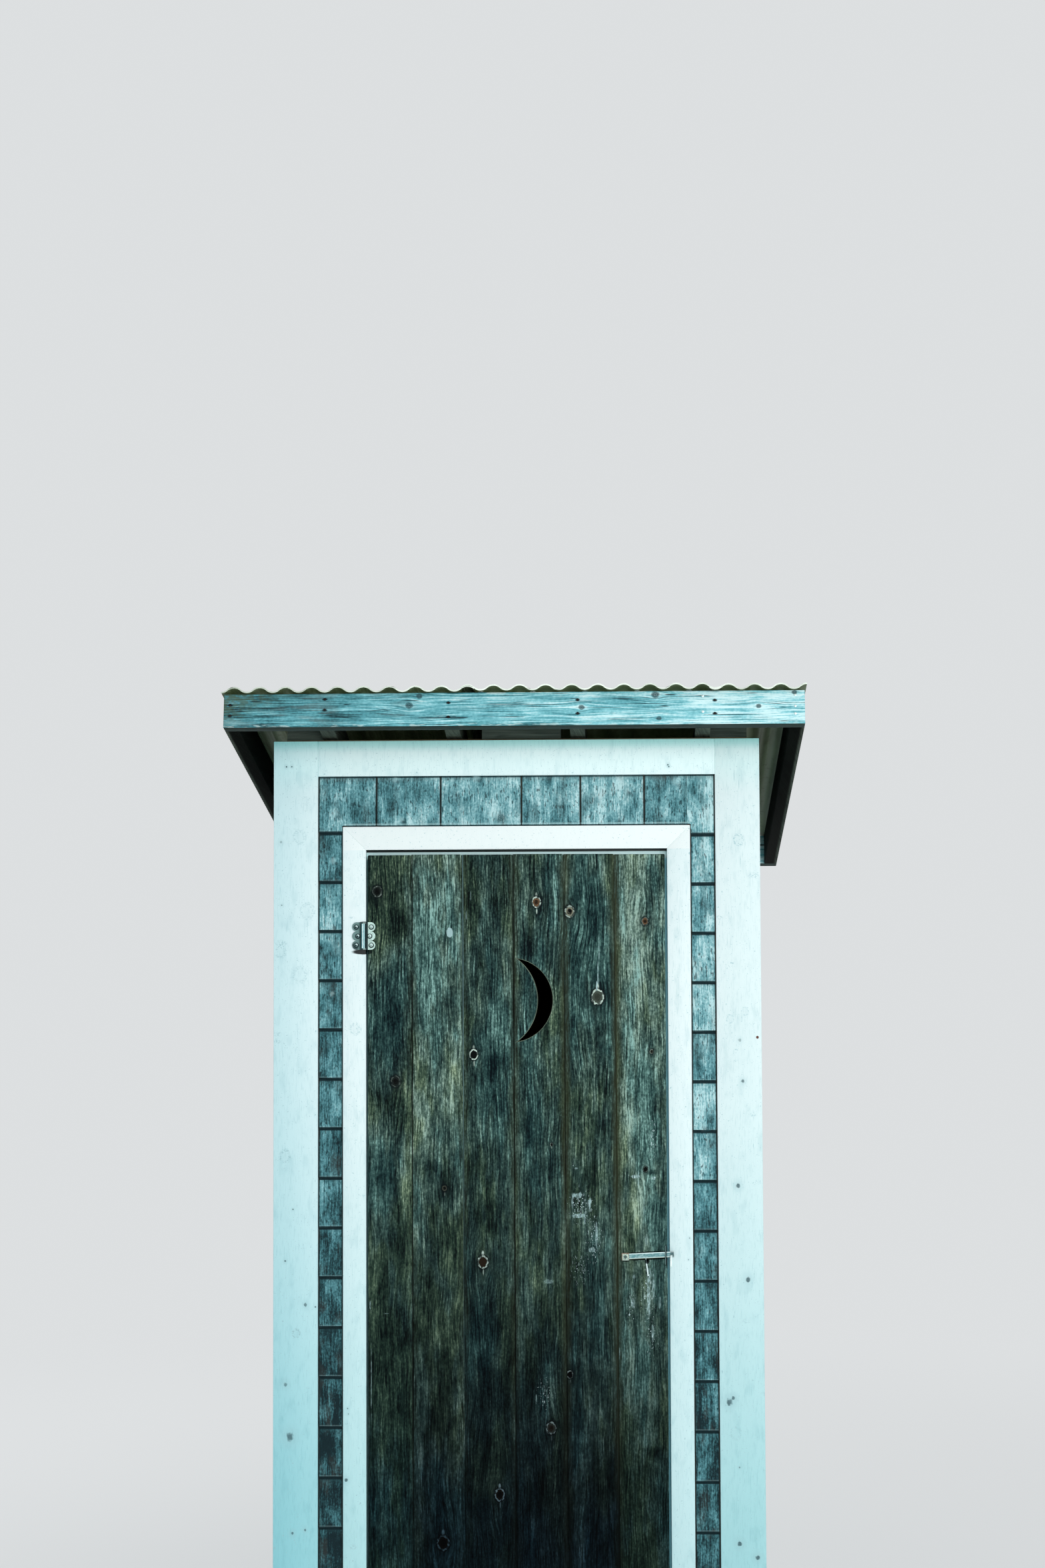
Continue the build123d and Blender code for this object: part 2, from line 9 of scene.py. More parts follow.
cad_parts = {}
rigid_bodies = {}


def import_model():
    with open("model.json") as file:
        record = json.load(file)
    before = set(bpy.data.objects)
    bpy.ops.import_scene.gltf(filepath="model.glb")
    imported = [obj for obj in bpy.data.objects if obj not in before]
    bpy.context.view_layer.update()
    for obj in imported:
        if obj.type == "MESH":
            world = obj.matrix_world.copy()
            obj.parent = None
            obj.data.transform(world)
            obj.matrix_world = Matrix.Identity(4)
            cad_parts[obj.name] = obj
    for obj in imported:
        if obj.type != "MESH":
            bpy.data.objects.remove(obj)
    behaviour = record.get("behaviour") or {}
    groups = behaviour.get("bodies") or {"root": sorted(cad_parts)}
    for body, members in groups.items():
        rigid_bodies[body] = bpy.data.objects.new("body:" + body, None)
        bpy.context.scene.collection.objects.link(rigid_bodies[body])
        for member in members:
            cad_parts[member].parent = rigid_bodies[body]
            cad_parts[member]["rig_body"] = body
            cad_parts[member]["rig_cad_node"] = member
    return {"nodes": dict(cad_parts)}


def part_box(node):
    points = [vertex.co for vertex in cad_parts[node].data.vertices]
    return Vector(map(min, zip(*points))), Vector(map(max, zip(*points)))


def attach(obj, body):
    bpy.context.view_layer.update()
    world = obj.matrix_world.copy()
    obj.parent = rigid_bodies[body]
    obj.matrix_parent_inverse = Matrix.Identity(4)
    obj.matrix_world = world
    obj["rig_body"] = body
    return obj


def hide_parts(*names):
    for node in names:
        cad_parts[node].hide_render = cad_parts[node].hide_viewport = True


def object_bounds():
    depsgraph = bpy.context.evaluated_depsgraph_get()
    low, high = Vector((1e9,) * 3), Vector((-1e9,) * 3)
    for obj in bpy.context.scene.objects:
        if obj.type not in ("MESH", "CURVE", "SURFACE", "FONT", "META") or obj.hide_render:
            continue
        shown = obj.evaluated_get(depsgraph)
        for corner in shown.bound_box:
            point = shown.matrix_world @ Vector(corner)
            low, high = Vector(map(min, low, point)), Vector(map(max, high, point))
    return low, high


# A small outhouse: white painted trim, weathered shingles, a board door with a
# crescent, and a roof of corrugated translucent sheet. Metres, +Z up, front to -Y.

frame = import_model()
cad_box = [list(corner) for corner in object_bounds()]
nodes = frame["nodes"]
chance = random.Random(20)

# Places read from the frame
frieze_low, frieze_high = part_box("frieze_front")
casing_low, casing_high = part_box("door_casing_sides")
head_low, head_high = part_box("door_casing_head")
door_low, door_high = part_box("door_boards")
fascia_low, fascia_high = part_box("fascia_front")
plate_low, plate_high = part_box("latch_plate")
pivot_x, pivot_z = (plate_low.x + plate_high.x) / 2, (plate_low.z + plate_high.z) / 2
hinge_low, hinge_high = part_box("hinge_frame_leaves")
leaf_width = 0.030
leaf_half_height = 0.0355
leaf_thickness = 0.0022
barrel_x = hinge_low.x + leaf_width
hinge_heights = (hinge_low.z + leaf_half_height, hinge_high.z - leaf_half_height)
hinge_screws = [(side * reach, dz) for side in (-1, 1)
                for reach, dz in ((0.0195, 0.0235), (0.0155, 0.0), (0.0195, -0.0235))]
front_y = frieze_low.y
sheathing_y = frieze_high.y
frieze_top = frieze_high.z
trim_inner = frieze_high.x
casing_half = casing_high.x
siding_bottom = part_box("corner_boards_front")[0].z

# The roof's own frame: it falls to the back from the front fascia's top edge
roof_slope = math.radians(10)
front_overhang = 0.140
back_overhang = 0.165
body_depth = 1.4
roof_run = body_depth / math.cos(roof_slope) + back_overhang
roof_top = fascia_high.z - front_overhang * math.sin(roof_slope)
roof_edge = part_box("rake_boards")[1].x


def roof_down(place):
    """How far down the slope a place lies, from the plane of the front."""
    return ((place.y - front_y) * math.cos(roof_slope)
            - (place.z - roof_top) * math.sin(roof_slope))


sheet_end = min(roof_down(vertex.co) for vertex in nodes["roof_sheet_middle"].data.vertices)

# Camera of the photograph, whose frame is 1568 x 2352 pixels
frame_height = 2352
focal_pixels = 4477.7
film = 36.0
camera_place = Vector((0.3196, -8.4284, 1.8305))
camera_yaw = math.radians(-2.244)
camera_pitch = math.radians(3.651)
camera_roll = math.radians(-0.23)

# Shingles
exposure = 0.12715
first_butt_drop = 0.2432
butt_thickness = 0.015
butt_round = 0.0022
course_taper = 0.008
hidden_length = 0.012
side_gap = 0.0011
strip_gap = 0.0022
tight_gap = 0.0002
notch_gap = 0.0025
butt_shift = 0.0045
butt_tilt = 0.0016
stock_width = 0.1
narrowest, widest = 0.070, 0.165
least_rest = 0.05        # a narrower rest of a course is one with the shingle before it
least_height = 0.012     # a lower shingle is left out
least_course = 0.02      # a lower first course is one with the next
tight_reach = 0.006      # how far past a joint with no gap the finish sees a shingle's edge
strip_courses = 17
courses_over_first = 3
sill_shingles = 6
top_course_share = 0.93  # of a full course, how much shows under the frieze

# Trim, roof and light
trim_ease = 0.0012
timber_ease = 0.0018
fascia_face = 0.089
nail_pairs = ((-0.7246, 0.029, 0.057), (-0.482, 0.0156, 0.0436), (-0.1657, 0.0266, 0.0639),
              (0.1643, 0.0215, 0.057), (0.513, 0.025, 0.0597))
pale_pairs = ((0.4824, 0.014, 0.0554), (0.717, 0.013, 0.042, 0.062))
wave_pitch = 0.0664
wave_count = 20
first_nailed_wave = 10
sheet_half_thickness = 0.0018
lip_growth = 0.0026
lip_reach = 0.004
world_strength = 0.60

# Door
board_count = 6
first_board = 0.115
board_pitch = 0.1315
board_lean = 0.0035
groove_reach = 0.003
moon_height = 0.213
moon_outer_bulge = 0.091
moon_inner_bulge = 0.0526
moon_tip_x = 0.002
moon_drop = 0.377
moon_flare = 0.0015
board_tops = (0.0010, 0.0, 0.0008, 0.0, 0.0006, 0.0018)
hole_radius = 0.0045
hole_along, hole_drop = 0.0545, 0.0103
bar_rise = math.radians(2.8)

# Fastenings: radius and height of the head
case_screw = (0.0046, 0.0026)
fascia_nail = (0.0032, 0.0010)
roof_cap = (0.0070, 0.0030)

# Shingles over the door: the joints' places and each one's tone; tones down the two strips
top_joints = (-0.439, -0.363, -0.285, -0.196, 0.014, 0.167, 0.332, 0.4426)
top_tones = (0.46, 0.46, 0.66, 0.70, 0.42, 0.42, 0.00)
corner_tones = {-1: 0.50, 1: 0.44}
strip_tones = {-1: (0.24, 0.60, 0.52, 0.29, 0.33, 0.57, 0.45, 0.60, 0.36, 0.62, 0.20, 0.46,
                    0.47, 0.36, 0.40, 0.44, 0.40),
               1: (0.46, 0.35, 0.34, 0.68, 0.30, 0.66, 0.58, 0.18, 0.20, 0.39, 0.38, 0.34,
                   0.35, 0.65, 0.58, 0.50, 0.44)}

# Colours, as the photograph's cold light shows them
paint_white = (0.790, 0.920, 0.925)
paint_stain = (0.33, 0.56, 0.60)
paint_head = (0.860, 0.940, 0.930)
paint_mark = (0.030, 0.085, 0.100)
mark_rust = (0.10, 0.022, 0.008)
shingle_stops = ((0.0, (0.005, 0.020, 0.025)), (0.25, (0.030, 0.105, 0.120)),
                 (0.50, (0.088, 0.255, 0.287)), (0.75, (0.212, 0.455, 0.490)),
                 (1.0, (0.50, 0.75, 0.77)))
shingle_dark, shingle_dim, shingle_pale = [shingle_stops[k][1] for k in (0, 1, 4)]
shingle_brown = (0.105, 0.088, 0.068)
joint_brown = (0.030, 0.030, 0.024)
board_stops = ((0.0, (0.0020, 0.0052, 0.0068)), (0.25, (0.0100, 0.0255, 0.0250)),
               (0.50, (0.033, 0.068, 0.059)), (0.75, (0.110, 0.188, 0.154)),
               (1.0, (0.34, 0.49, 0.41)))
board_olive = (1.12, 1.01, 0.79)
board_teal = (0.80, 0.99, 1.08)
board_brown = (0.040, 0.045, 0.022)
board_paint = (0.36, 0.54, 0.55)
knot_rim = (0.52, 0.66, 0.58)
knot_shadow = (0.0035, 0.0070, 0.0080)
knot_dark = (0.009, 0.013, 0.012)
heart_brown = (0.020, 0.013, 0.008)
heart_black = (0.003, 0.004, 0.004)
heart_tan = (0.050, 0.056, 0.042)
ring_tan = (0.19, 0.195, 0.145)
ring_red = (0.125, 0.075, 0.042)
knot_grey = (0.052, 0.068, 0.054)
knot_middle = (0.030, 0.038, 0.030)
fascia_stops = ((0.0, (0.005, 0.018, 0.023)), (0.25, (0.038, 0.140, 0.160)),
                (0.50, (0.096, 0.350, 0.402)), (0.75, (0.242, 0.605, 0.665)),
                (1.0, (0.62, 0.88, 0.90)))
fascia_crack = (0.006, 0.018, 0.026)
fascia_moss = (0.085, 0.125, 0.070)
# Weathered timber, kept dark as painted shade for the rafters under the eave
timber_pale = (0.085, 0.110, 0.082)
timber_dark = (0.014, 0.018, 0.014)
rake_pale = (0.085, 0.105, 0.085)
rake_dark = (0.018, 0.023, 0.019)
block_pale = (0.120, 0.155, 0.130)
block_dark = (0.030, 0.042, 0.036)
bare_pale = (0.36, 0.27, 0.155)
bare_dark = (0.17, 0.115, 0.06)
panel_pale = (0.20, 0.15, 0.09)
panel_dark = (0.07, 0.05, 0.03)
sheet_olive = (0.26, 0.33, 0.21)
sheet_stain = (0.085, 0.105, 0.060)
# Pale cut end of the sheet, brightened as a painted highlight
sheet_cut_and_highlight = (0.88, 0.98, 0.88)
zinc_pale = (0.74, 0.86, 0.84)
zinc_dark = (0.40, 0.50, 0.49)
rust = (0.20, 0.075, 0.030)
backdrop = (0.72, 0.74, 0.75)
fascia_grey = (0.165, 0.250, 0.250)
fascia_knot = (0.030, 0.080, 0.092)
fascia_bare_and_highlight = (0.62, 0.80, 0.78)
fascia_underside_shade = (0.020, 0.032, 0.026)
fleck_white = (0.58, 0.76, 0.78)
reveal_shade_blue = (0.200, 0.760, 0.900)
reveal_shade_teal = (0.040, 0.260, 0.290)
reveal_head_painted_light = (0.740, 0.990, 1.000)
leaf_mint = (0.58, 0.80, 0.73)
leaf_dull = (0.15, 0.26, 0.25)
# Painted shade on the hinges, latch and plate
metal_painted_shade = (0.005, 0.020, 0.023)
barrel_teal = (0.11, 0.35, 0.39)
# Pale zinc, used also for painted highlights
zinc_pale_and_highlight = (0.76, 0.94, 0.94)
latch_teal = (0.085, 0.27, 0.30)
# Near black of painted shadows: by the hinges, round the latch and under the head casing
painted_shadow_black = (0.003, 0.007, 0.007)
latch_ochre = (0.17, 0.21, 0.14)
plate_pale = (0.54, 0.68, 0.58)
groove_painted_highlight = (0.17, 0.31, 0.33)
groove_dark = (0.0050, 0.0060, 0.0045)
groove_brown = (0.032, 0.039, 0.021)

# Lines down the door's five joints: half width, colour, strength, strength of the stain; the pale
# line is a painted highlight on a groove's edge
groove_lines = ((0.0018, groove_dark, 0.92, 0.12), (0.0012, groove_painted_highlight, 0.60, 0.20),
                (0.0020, groove_dark, 0.85, 0.32), (0.0018, groove_dark, 0.6, 0.50),
                (0.0030, groove_brown, 0.80, 0.55))

# Painted light and shade on the paint and on the rakes' inner side, and colours of the hidden
# timber, the sheet and the studio
eave_painted_light = (0.99, 1.07, 1.06)
eave_painted_shade = (0.58, 0.86, 0.84)
left_painted_shade = (0.76, 0.905, 0.935)
right_painted_shade = (0.92, 0.95, 0.95)
low_painted_shade = (0.58, 0.82, 0.86)
rake_painted_shade = (0.05, 0.06, 0.055)
cut_pale, cut_dark = (0.19, 0.25, 0.19), (0.08, 0.11, 0.08)
nail_dark, nail_brown = (0.004, 0.007, 0.008), (0.022, 0.018, 0.014)
floor_pale, floor_grey = (0.82, 0.83, 0.83), (0.74, 0.76, 0.76)
sheet_glow = (0.36, 0.44, 0.28)
sky_white = (0.95, 0.98, 1.0)

# Knots and long checks of the fascia: x, drop from its top edge, radius or half sizes, in
# millimetres
fascia_knots = [(-266, 33, 8), (-240, 9, 6.5), (362, 10, 8.5), (174, 41, 6.5), (371, 71, 5.5),
                (624, 41, 5.5), (715, 6, 5.5)]
fascia_checks = [(-196, 65.5, 56, 1.7), (-262, 20, 22, 1.1), (-140, 66, 30, 2), (0, 64, 30, 1.1),
                 (400, 10, 16, 1.7), (60, 33, 90, 0.8), (560, 62, 80, 1), (-520, 44, 50, 1),
                 (-430, 63, 16, 1), (-690, 83, 18, 1.2), (180, 25, 60, 0.7), (330, 33, 70, 0.8),
                 (-660, 20, 16, 1.4), (-640, 37, 14, 1.2), (230, 42.5, 50, 0.7),
                 (-700, 44, 10, 1.2)]
nail_stain = (0.0068, 0.0036)

# Knots of the shingles: x, z, radius in millimetres, depth
shingle_knots = [(-461.5, 2240.6, 7.5, 0.5), (-291.7, 2226.5, 4.5, 0.9), (-38.6, 2236.8, 11, 0.65),
                 (-93.7, 2334, 6, 0.6), (-307, 2331, 4.5, 0.7), (295.6, 2297, 5, 0.6),
                 (-467.4, 2120, 5.5, 1), (-473.8, 1778, 3.5, 0.9), (487, 1433, 6, 0.7),
                 (424.5, 2318, 7, 0.4)]

# Marks that show through the paint, and painted shadows by the hinges (shade): kind, x, z and size
# in millimetres, depth
corner_marks = [
    ("ring", -563, 2189, 16, 0.4), ("speck", -611, 2176, 5, 0.45), ("ring", -548, 2283, 9, 0.35),
    ("ring", -542, 1997, 18, 0.45), ("speck", -609, 2012, 3.2, 0.6), ("ring", -612, 1890, 13, 0.5),
    ("smear", -610, 1913, 16, 0.75), ("ring", -562, 1832, 18, 0.4), ("smear", -620, 1679, 11, 0.6),
    ("smear", -621, 1660, 9, 0.9), ("ring", -600, 1365, 14, 0.75), ("speck", -579, 1229, 3, 0.8),
    ("speck", -599, 1097, 4.5, 0.7), ("star", -547, 985, 7, 0.7), ("speck", -521, 980, 4, 0.7),
    ("ring", -570, 913, 10, 0.9), ("star", -598, 783, 8, 0.65), ("star", -587, 650, 15, 0.8),
    ("star", -580, 406, 6, 0.75), ("star", -547, 415, 5, 0.75), ("speck", -597, 2372, 3.4, 0.95),
    ("speck", -583, 2372, 3, 0.95), ("crack", 565, 2342, 22, 0.7), ("crack", 577, 2318, 16, 0.55),
    ("ring", 575, 2175, 13, 0.6), ("crack", 579, 2120, 18, 0.6), ("smear", 614, 2083, 14, 0.65),
    ("smear", 523, 1975, 12, 0.55), ("ring", 549, 1714, 10, 0.45), ("ring", 589, 1733, 9, 0.45),
    ("star", 574, 1660, 6, 0.45), ("rust", 619, 1667, 4.2, 1), ("smear", 561, 1606, 7, 0.6),
    ("star", 580, 1555, 6.5, 0.75), ("smear", 606, 1468, 8, 0.75), ("crack", 606, 1390, 7, 0.7),
    ("star", 567, 1288, 9, 0.85), ("smear", 617, 1298, 10, 0.4), ("star", 590, 1050, 10, 0.85),
    ("smear", 583, 944, 13, 0.45), ("star", 539, 740, 13, 0.85), ("star", 550, 750, 7, 0.8),
    ("smear", 628, 761, 10, 0.6), ("ring", 555, 661, 14, 0.4), ("speck", 564, 575, 3.5, 0.6),
    ("star", 563, 383, 9, 0.85), ("star", 608, 349, 9, 0.85)]
casing_marks = [
    ("smear", -436, 2103, 8, 0.45), ("smear", -428, 1980, 7, 0.5), ("ring", -418, 1691, 13, 0.5),
    ("smear", -401, 1264, 10, 0.4), ("speck", -438, 722, 3, 0.7), ("speck", -436, 708, 2.5, 0.6),
    ("star", -442, 541, 7, 0.85), ("smear", -425, 372, 12, 0.6), ("shade", -396, 1890.5, 30, 1),
    ("shade", -396, 234, 30, 1), ("shade", -395, 1966.5, 12, 0.8), ("shade", -395, 310, 12, 0.8),
    ("speck", 441, 1155, 2.8, 0.6), ("speck", 438, 1100, 2.4, 0.6)]
frieze_marks = [
    ("speck", 394, 2370.5, 3.5, 0.95), ("speck", 396.5, 2366, 3, 0.95),
    ("smear", -495, 2358, 10, 0.3)]

Knot = namedtuple("Knot", "x z radius rim ring heart tip tail",
                  defaults=(0.0, knot_dark, heart_black, 0.0, 0.0))


def in_metres(rows, count):
    """Rows whose first numbers are millimetres, with those in metres."""
    return [(*(part / 1000 for part in row[:count]), *row[count:]) for row in rows]


def door_knot(*row):
    """A knot whose place and radius are in millimetres."""
    return Knot(*in_metres([row], 3)[0])


class Value:
    """A socket that takes part in plain arithmetic."""

    def __init__(self, finish, socket):
        self.finish = finish
        self.socket = socket

    def math(self, operation, *others):
        values = {0: self, **{k + 1: other for k, other in enumerate(others)}}
        return self.finish.node("Math", {"operation": operation}, values)

    def __add__(self, other):
        return self.math("ADD", other)

    def __sub__(self, other):
        return self.math("SUBTRACT", other)

    def __mul__(self, other):
        return self.math("MULTIPLY", other)

    def __truediv__(self, other):
        return self.math("DIVIDE", other)

    def __pow__(self, other):
        return self.math("POWER", other)

    def __radd__(self, other):
        return self.math("ADD", other)

    def __rmul__(self, other):
        return self.math("MULTIPLY", other)

    def __rsub__(self, other):
        return self.finish.node("Math", {"operation": "SUBTRACT"}, {0: other, 1: self})

    def __rtruediv__(self, other):
        return self.finish.node("Math", {"operation": "DIVIDE"}, {0: other, 1: self})

    def smaller(self, other):
        return self.math("MINIMUM", other)

    def sine(self):
        return self.math("SINE")

    def size(self):
        return self.math("ABSOLUTE")

    def clear(self, low, high):
        """Smoothly 0 below low and 1 above high, or the other way round if low is above high."""
        return self.finish.node("MapRange", {"interpolation_type": "SMOOTHSTEP"},
                                {0: self, 1: low, 2: high, 3: 0.0, 4: 1.0})


class Finish:
    """One material while it is put together."""

    def __init__(self, name, roughness=0.8, specular=0.2):
        self.material = bpy.data.materials.new(name)
        self.material.use_nodes = True
        self.tree = self.material.node_tree
        self.shader = self.tree.nodes["Principled BSDF"]
        self.shader.inputs["Roughness"].default_value = roughness
        self.shader.inputs["Specular IOR Level"].default_value = specular
        self.place = self.node("TexCoord", {}, {}, "Object")
        self.colour = None
        self.x, self.y, self.z = self.parts(self.place)

    def node(self, kind, settings, values, output=0):
        made = self.tree.nodes.new("ShaderNode" + kind)
        for key, value in settings.items():
            if key == "stops":
                self.stop(made.color_ramp.elements, value)
            else:
                setattr(made, key, value)
        for key, value in values.items():
            self.put(made.inputs[key], value)
        return Value(self, made.outputs[output])

    def stop(self, elements, stops):
        """Places and colours along a ramp."""
        while len(elements) < len(stops):
            elements.new(1.0)
        for element, (place, colour) in zip(elements, stops):
            element.position = place
            element.color = (*colour, 1.0)

    def put(self, socket, value):
        if isinstance(value, Value):
            self.tree.links.new(value.socket, socket)
        else:
            socket.default_value = value

    def set(self, name, value):
        self.put(self.shader.inputs[name], value)

    def parts(self, vector):
        split = self.node("SeparateXYZ", {}, {0: vector})
        outputs = split.socket.node.outputs
        return [Value(self, outputs[k]) for k in range(3)]

    def point(self, x, y, z):
        return self.node("CombineXYZ", {}, {0: x, 1: y, 2: z})

    def noise(self, x, y, z, detail=2.0, roughness=0.5):
        """Noise round 0.5, mostly from 0.3 to 0.7, at coordinates already scaled."""
        return self.node("TexNoise", {}, {"Vector": self.point(x, y, z), "Scale": 1.0,
                                          "Detail": detail, "Roughness": roughness})

    def swing(self, x, y, z, detail=2.0, roughness=0.5):
        """The same noise about nought."""
        return self.noise(x, y, z, detail, roughness) - 0.5

    def spot(self, centre, radii):
        """Distance from a place on the front, 1 on an oval's rim."""
        across, along = 1 / radii[0], 1 / radii[1]
        moved = self.node("Mapping", {}, {"Vector": self.place, "Scale": (across, 0, along),
                                          "Location": (-centre[0] * across, 0, -centre[1] * along)})
        return self.node("VectorMath", {"operation": "LENGTH"}, {0: moved}, "Value")

    def mix(self, share, first, second, blend="MIX"):
        """Colour between two colours."""
        first, second = [c if isinstance(c, Value) else (*c, 1.0) for c in (first, second)]
        return self.node("Mix", {"data_type": "RGBA", "blend_type": blend},
                         {0: share, 6: first, 7: second}, 2)

    def coat(self, share, over):
        """Lay a colour over what is there."""
        self.colour = self.mix(share, self.colour, over)

    def tint(self, share, by):
        """Multiply what is there by a colour."""
        self.colour = self.mix(share, self.colour, by, "MULTIPLY")

    def ramp(self, value, stops):
        return self.node("ValToRGB", {"stops": stops}, {0: value})

    def attribute(self, name):
        return self.node("Attribute", {"attribute_name": name}, {}, "Fac")

    def finished(self):
        """The material, once its colour is laid."""
        self.set("Base Color", self.colour)
        return self.material

    def bump(self, height, distance, strength):
        values = {"Strength": strength, "Distance": distance, "Height": height}
        self.set("Normal", self.node("Bump", {}, values, "Normal"))


def fibres(f, across, depth, along, shift=0.0, length=1.0):
    """Swings of brightness in wood: fine fibres, streaks and broad bands."""
    depth = depth + shift
    fine = f.swing(across * 430, depth * 60, along * (13 / length), 3, 0.65)
    streak = f.swing(across * 185, depth * 30, along * (5.0 / length), 3, 0.6)
    band = f.swing(across * 34, depth * 9, along * (1.7 / length), 2)
    return fine, streak, band


def year_lines(f, across, along, shift, spacing, strength):
    """Thin darker lines of the yearly growth, bent into flames, here plain and there faint."""
    phase = across * (2 * math.pi / spacing) + f.swing(across * 9, shift, along * 1.5, 2) * 30
    here = f.noise(across * 11, shift + 4.0, along * 2.2, 1).clear(0.40, 0.62)
    return phase.sine().clear(0.1, 1.0) * here * strength


def parted(f, across, knots):
    """The across coordinate with the grain parted round each knot."""
    for knot in knots:
        reach = f.spot((knot.x, knot.z), (knot.radius * 1.6, knot.radius * 3.8))
        across = across - (f.x - knot.x) * (0.85 / (reach * reach + 0.9))
    return across


def knotted(f, knots):
    """Draws knots: a dark halo, a thin torn outline, a ring and a heart, a tip and a tail."""
    rough = f.swing(f.x * 190, 0.0, f.z * 140, 2) * 0.55
    torn = f.noise(f.x * 115, 1.0, f.z * 95, 2).clear(0.47, 0.54)
    for x, z, radius, rim, ring, heart, tip, tail in knots:
        reach = f.spot((x, z), (radius, radius * 1.25)) + rough
        f.coat(reach.clear(3.8, 1.0) * 0.50, knot_shadow)
        if tip:
            point = f.spot((x, z + radius * 1.7), (radius * 0.30, radius * 0.8)) + rough
            f.coat(point.clear(1.1, 0.6) * tip, knot_rim)
        if tail:
            below = (x + radius * 0.1, z - radius * 2.1)
            point = f.spot(below, (radius * 0.13, radius * 0.9)) + rough
            f.coat(point.clear(1.1, 0.6) * tail, knot_rim)
        f.coat(reach.clear(1.55, 1.15) * 0.85, knot_shadow)
        if rim:
            outline = reach.clear(0.80, 0.92) * reach.clear(1.18, 1.04)
            f.coat(outline * (torn * 0.85 + 0.15) * rim, knot_rim)
        f.coat(reach.clear(0.90, 0.80), ring)
        f.coat(reach.clear(0.58, 0.46), heart)
        f.coat(reach.clear(0.20, 0.30) * reach.clear(0.40, 0.32) * torn * 0.6, ring)


def marked(f, marks):
    """Knots and nails that show through paint: faint rings, smears, dark stars, specks, cracks; and
    painted shadows, the kind shade.
    """
    rough = f.swing(f.x * 140, f.y * 140, f.z * 95, 3) * 1.5
    broken = f.noise(f.x * 190, 4.0, f.z * 260, 2).clear(0.44, 0.60)
    for kind, *sizes, depth in marks:
        x, z, size = [part / 1000 for part in sizes]
        if kind == "crack":
            line = f.spot((x, z), (0.0011, size)) + rough * 0.4
            f.coat(line.clear(1.1, 0.4) * depth, paint_stain)
            continue
        # shade: a painted shadow under or over a hinge
        if kind == "shade":
            line = f.spot((x, z), (size, size * 0.24)) + rough * 0.08
            f.coat(line.clear(1.15, 0.75) * depth, painted_shadow_black)
            continue
        reach = f.spot((x, z), (size, size * (0.62 if kind == "smear" else 1.15)))
        if kind == "ring":
            reach = reach + rough * 0.45
            ring = reach.clear(0.55, 0.80) * reach.clear(1.25, 0.95) * broken
            f.coat((ring + reach.clear(1.5, 0.0) * 0.22) * depth, paint_stain)
        elif kind == "smear":
            reach = reach + rough * 0.7
            f.coat(reach.clear(1.3, 0.2) * broken * depth, paint_stain)
        elif kind == "rust":
            f.coat(reach.clear(1.0, 0.6) * depth, mark_rust)
        else:
            halo = (reach + rough * 0.8).clear(2.6, 0.2)
            f.coat(halo * depth * 0.45, paint_stain)
            core = (reach * 1.5 + rough * (0.9 if kind == "star" else 0.3)).clear(1.1, 0.5)
            f.coat(core * depth, paint_mark)


def painted_finish(name, marks=(), low_shade_left=low_painted_shade, low_shade_right=low_painted_shade):
    """White paint over boards: faint grain, stains that show through; painted light near the eave
    with painted shade along its top, painted shade on the left and right, and painted shade towards
    the foot.
    """
    f = Finish(name, roughness=0.5, specular=0.3)
    cloud = f.noise(f.x * 9, f.y * 9, f.z * 3.5, 3).clear(0.35, 0.8)
    fine = f.noise(f.x * 420, f.y * 420, f.z * 40, 2)
    patchy = f.noise(f.x * 42, f.y * 42, f.z * 16, 3).clear(0.50, 0.74)
    f.colour = f.mix(cloud * 0.08 + patchy * 0.22, paint_white, paint_stain)
    f.coat(fine.clear(0.52, 0.80) * 0.32, paint_stain)
    over_door = f.z.clear(head_low.z - 0.002, head_low.z)
    over_door = over_door * f.z.clear(head_high.z + 0.002, head_high.z)
    over_door = over_door * f.x.size().clear(casing_half + 0.002, casing_half)
    f.coat(over_door * 0.8, paint_head)
    # Near the eave: painted light, with painted shade along the top
    f.tint(f.z.clear(frieze_top - 0.15, frieze_top - 0.06), eave_painted_light)
    f.tint(f.z.clear(frieze_top - 0.034, frieze_top - 0.002), eave_painted_shade)
    # Painted shade on the left boards and on the right corner boards
    f.tint(f.x.clear(-0.40, -0.66), left_painted_shade)
    f.tint(f.x.clear(0.47, 0.58), right_painted_shade)
    # Painted shade towards the foot, deeper on the left
    f.tint(f.z.clear(1.82, 0.20), f.mix(f.x.clear(-0.3, 0.3), low_shade_left, low_shade_right))
    specks = f.noise(f.x * 95, f.y * 95, f.z * 95, 1)
    f.coat(specks.clear(0.755, 0.79) * 0.6, paint_stain)
    grit = f.noise(f.x * 260, f.y * 260, f.z * 260, 1)
    f.coat(grit.clear(0.700, 0.76) * 0.6, paint_stain)
    if marks:
        marked(f, marks)
    f.bump(fine * 0.5 + cloud * 0.2, 0.0006, 0.35)
    return f.finished()


def reveal_finish():
    """Painted stops and jambs: painted shade, teal and blue, beside the door, painted light on the
    head stop and a painted shadow line on top.
    """
    f = Finish("painted_reveal", roughness=0.5, specular=0.3)
    fine = f.noise(f.x * 420, f.y * 420, f.z * 40, 2)
    f.colour = f.mix(fine.clear(0.52, 0.80) * 0.12, paint_white, paint_stain)
    # Beside the door: painted shade, the white paint coloured teal and blue as it looks in shade
    beside = f.x.size().clear(door_high.x - 0.002, door_high.x)
    beside = beside * f.y.clear(door_high.y + 0.02, door_high.y)
    f.coat(beside * 0.92, f.mix(f.x.clear(-0.1, 0.1), reveal_shade_teal, reveal_shade_blue))
    # Over the door: painted light, the head stop brightened and tinted cyan where the head casing
    # shades it
    f.coat(f.z.clear(head_low.z - 0.030, head_low.z - 0.020), reveal_head_painted_light)
    # A painted shadow line under the head casing
    joint = f.z.clear(head_low.z - 0.0068, head_low.z - 0.0055)
    f.coat(joint * 0.97, painted_shadow_black)
    return f.finished()


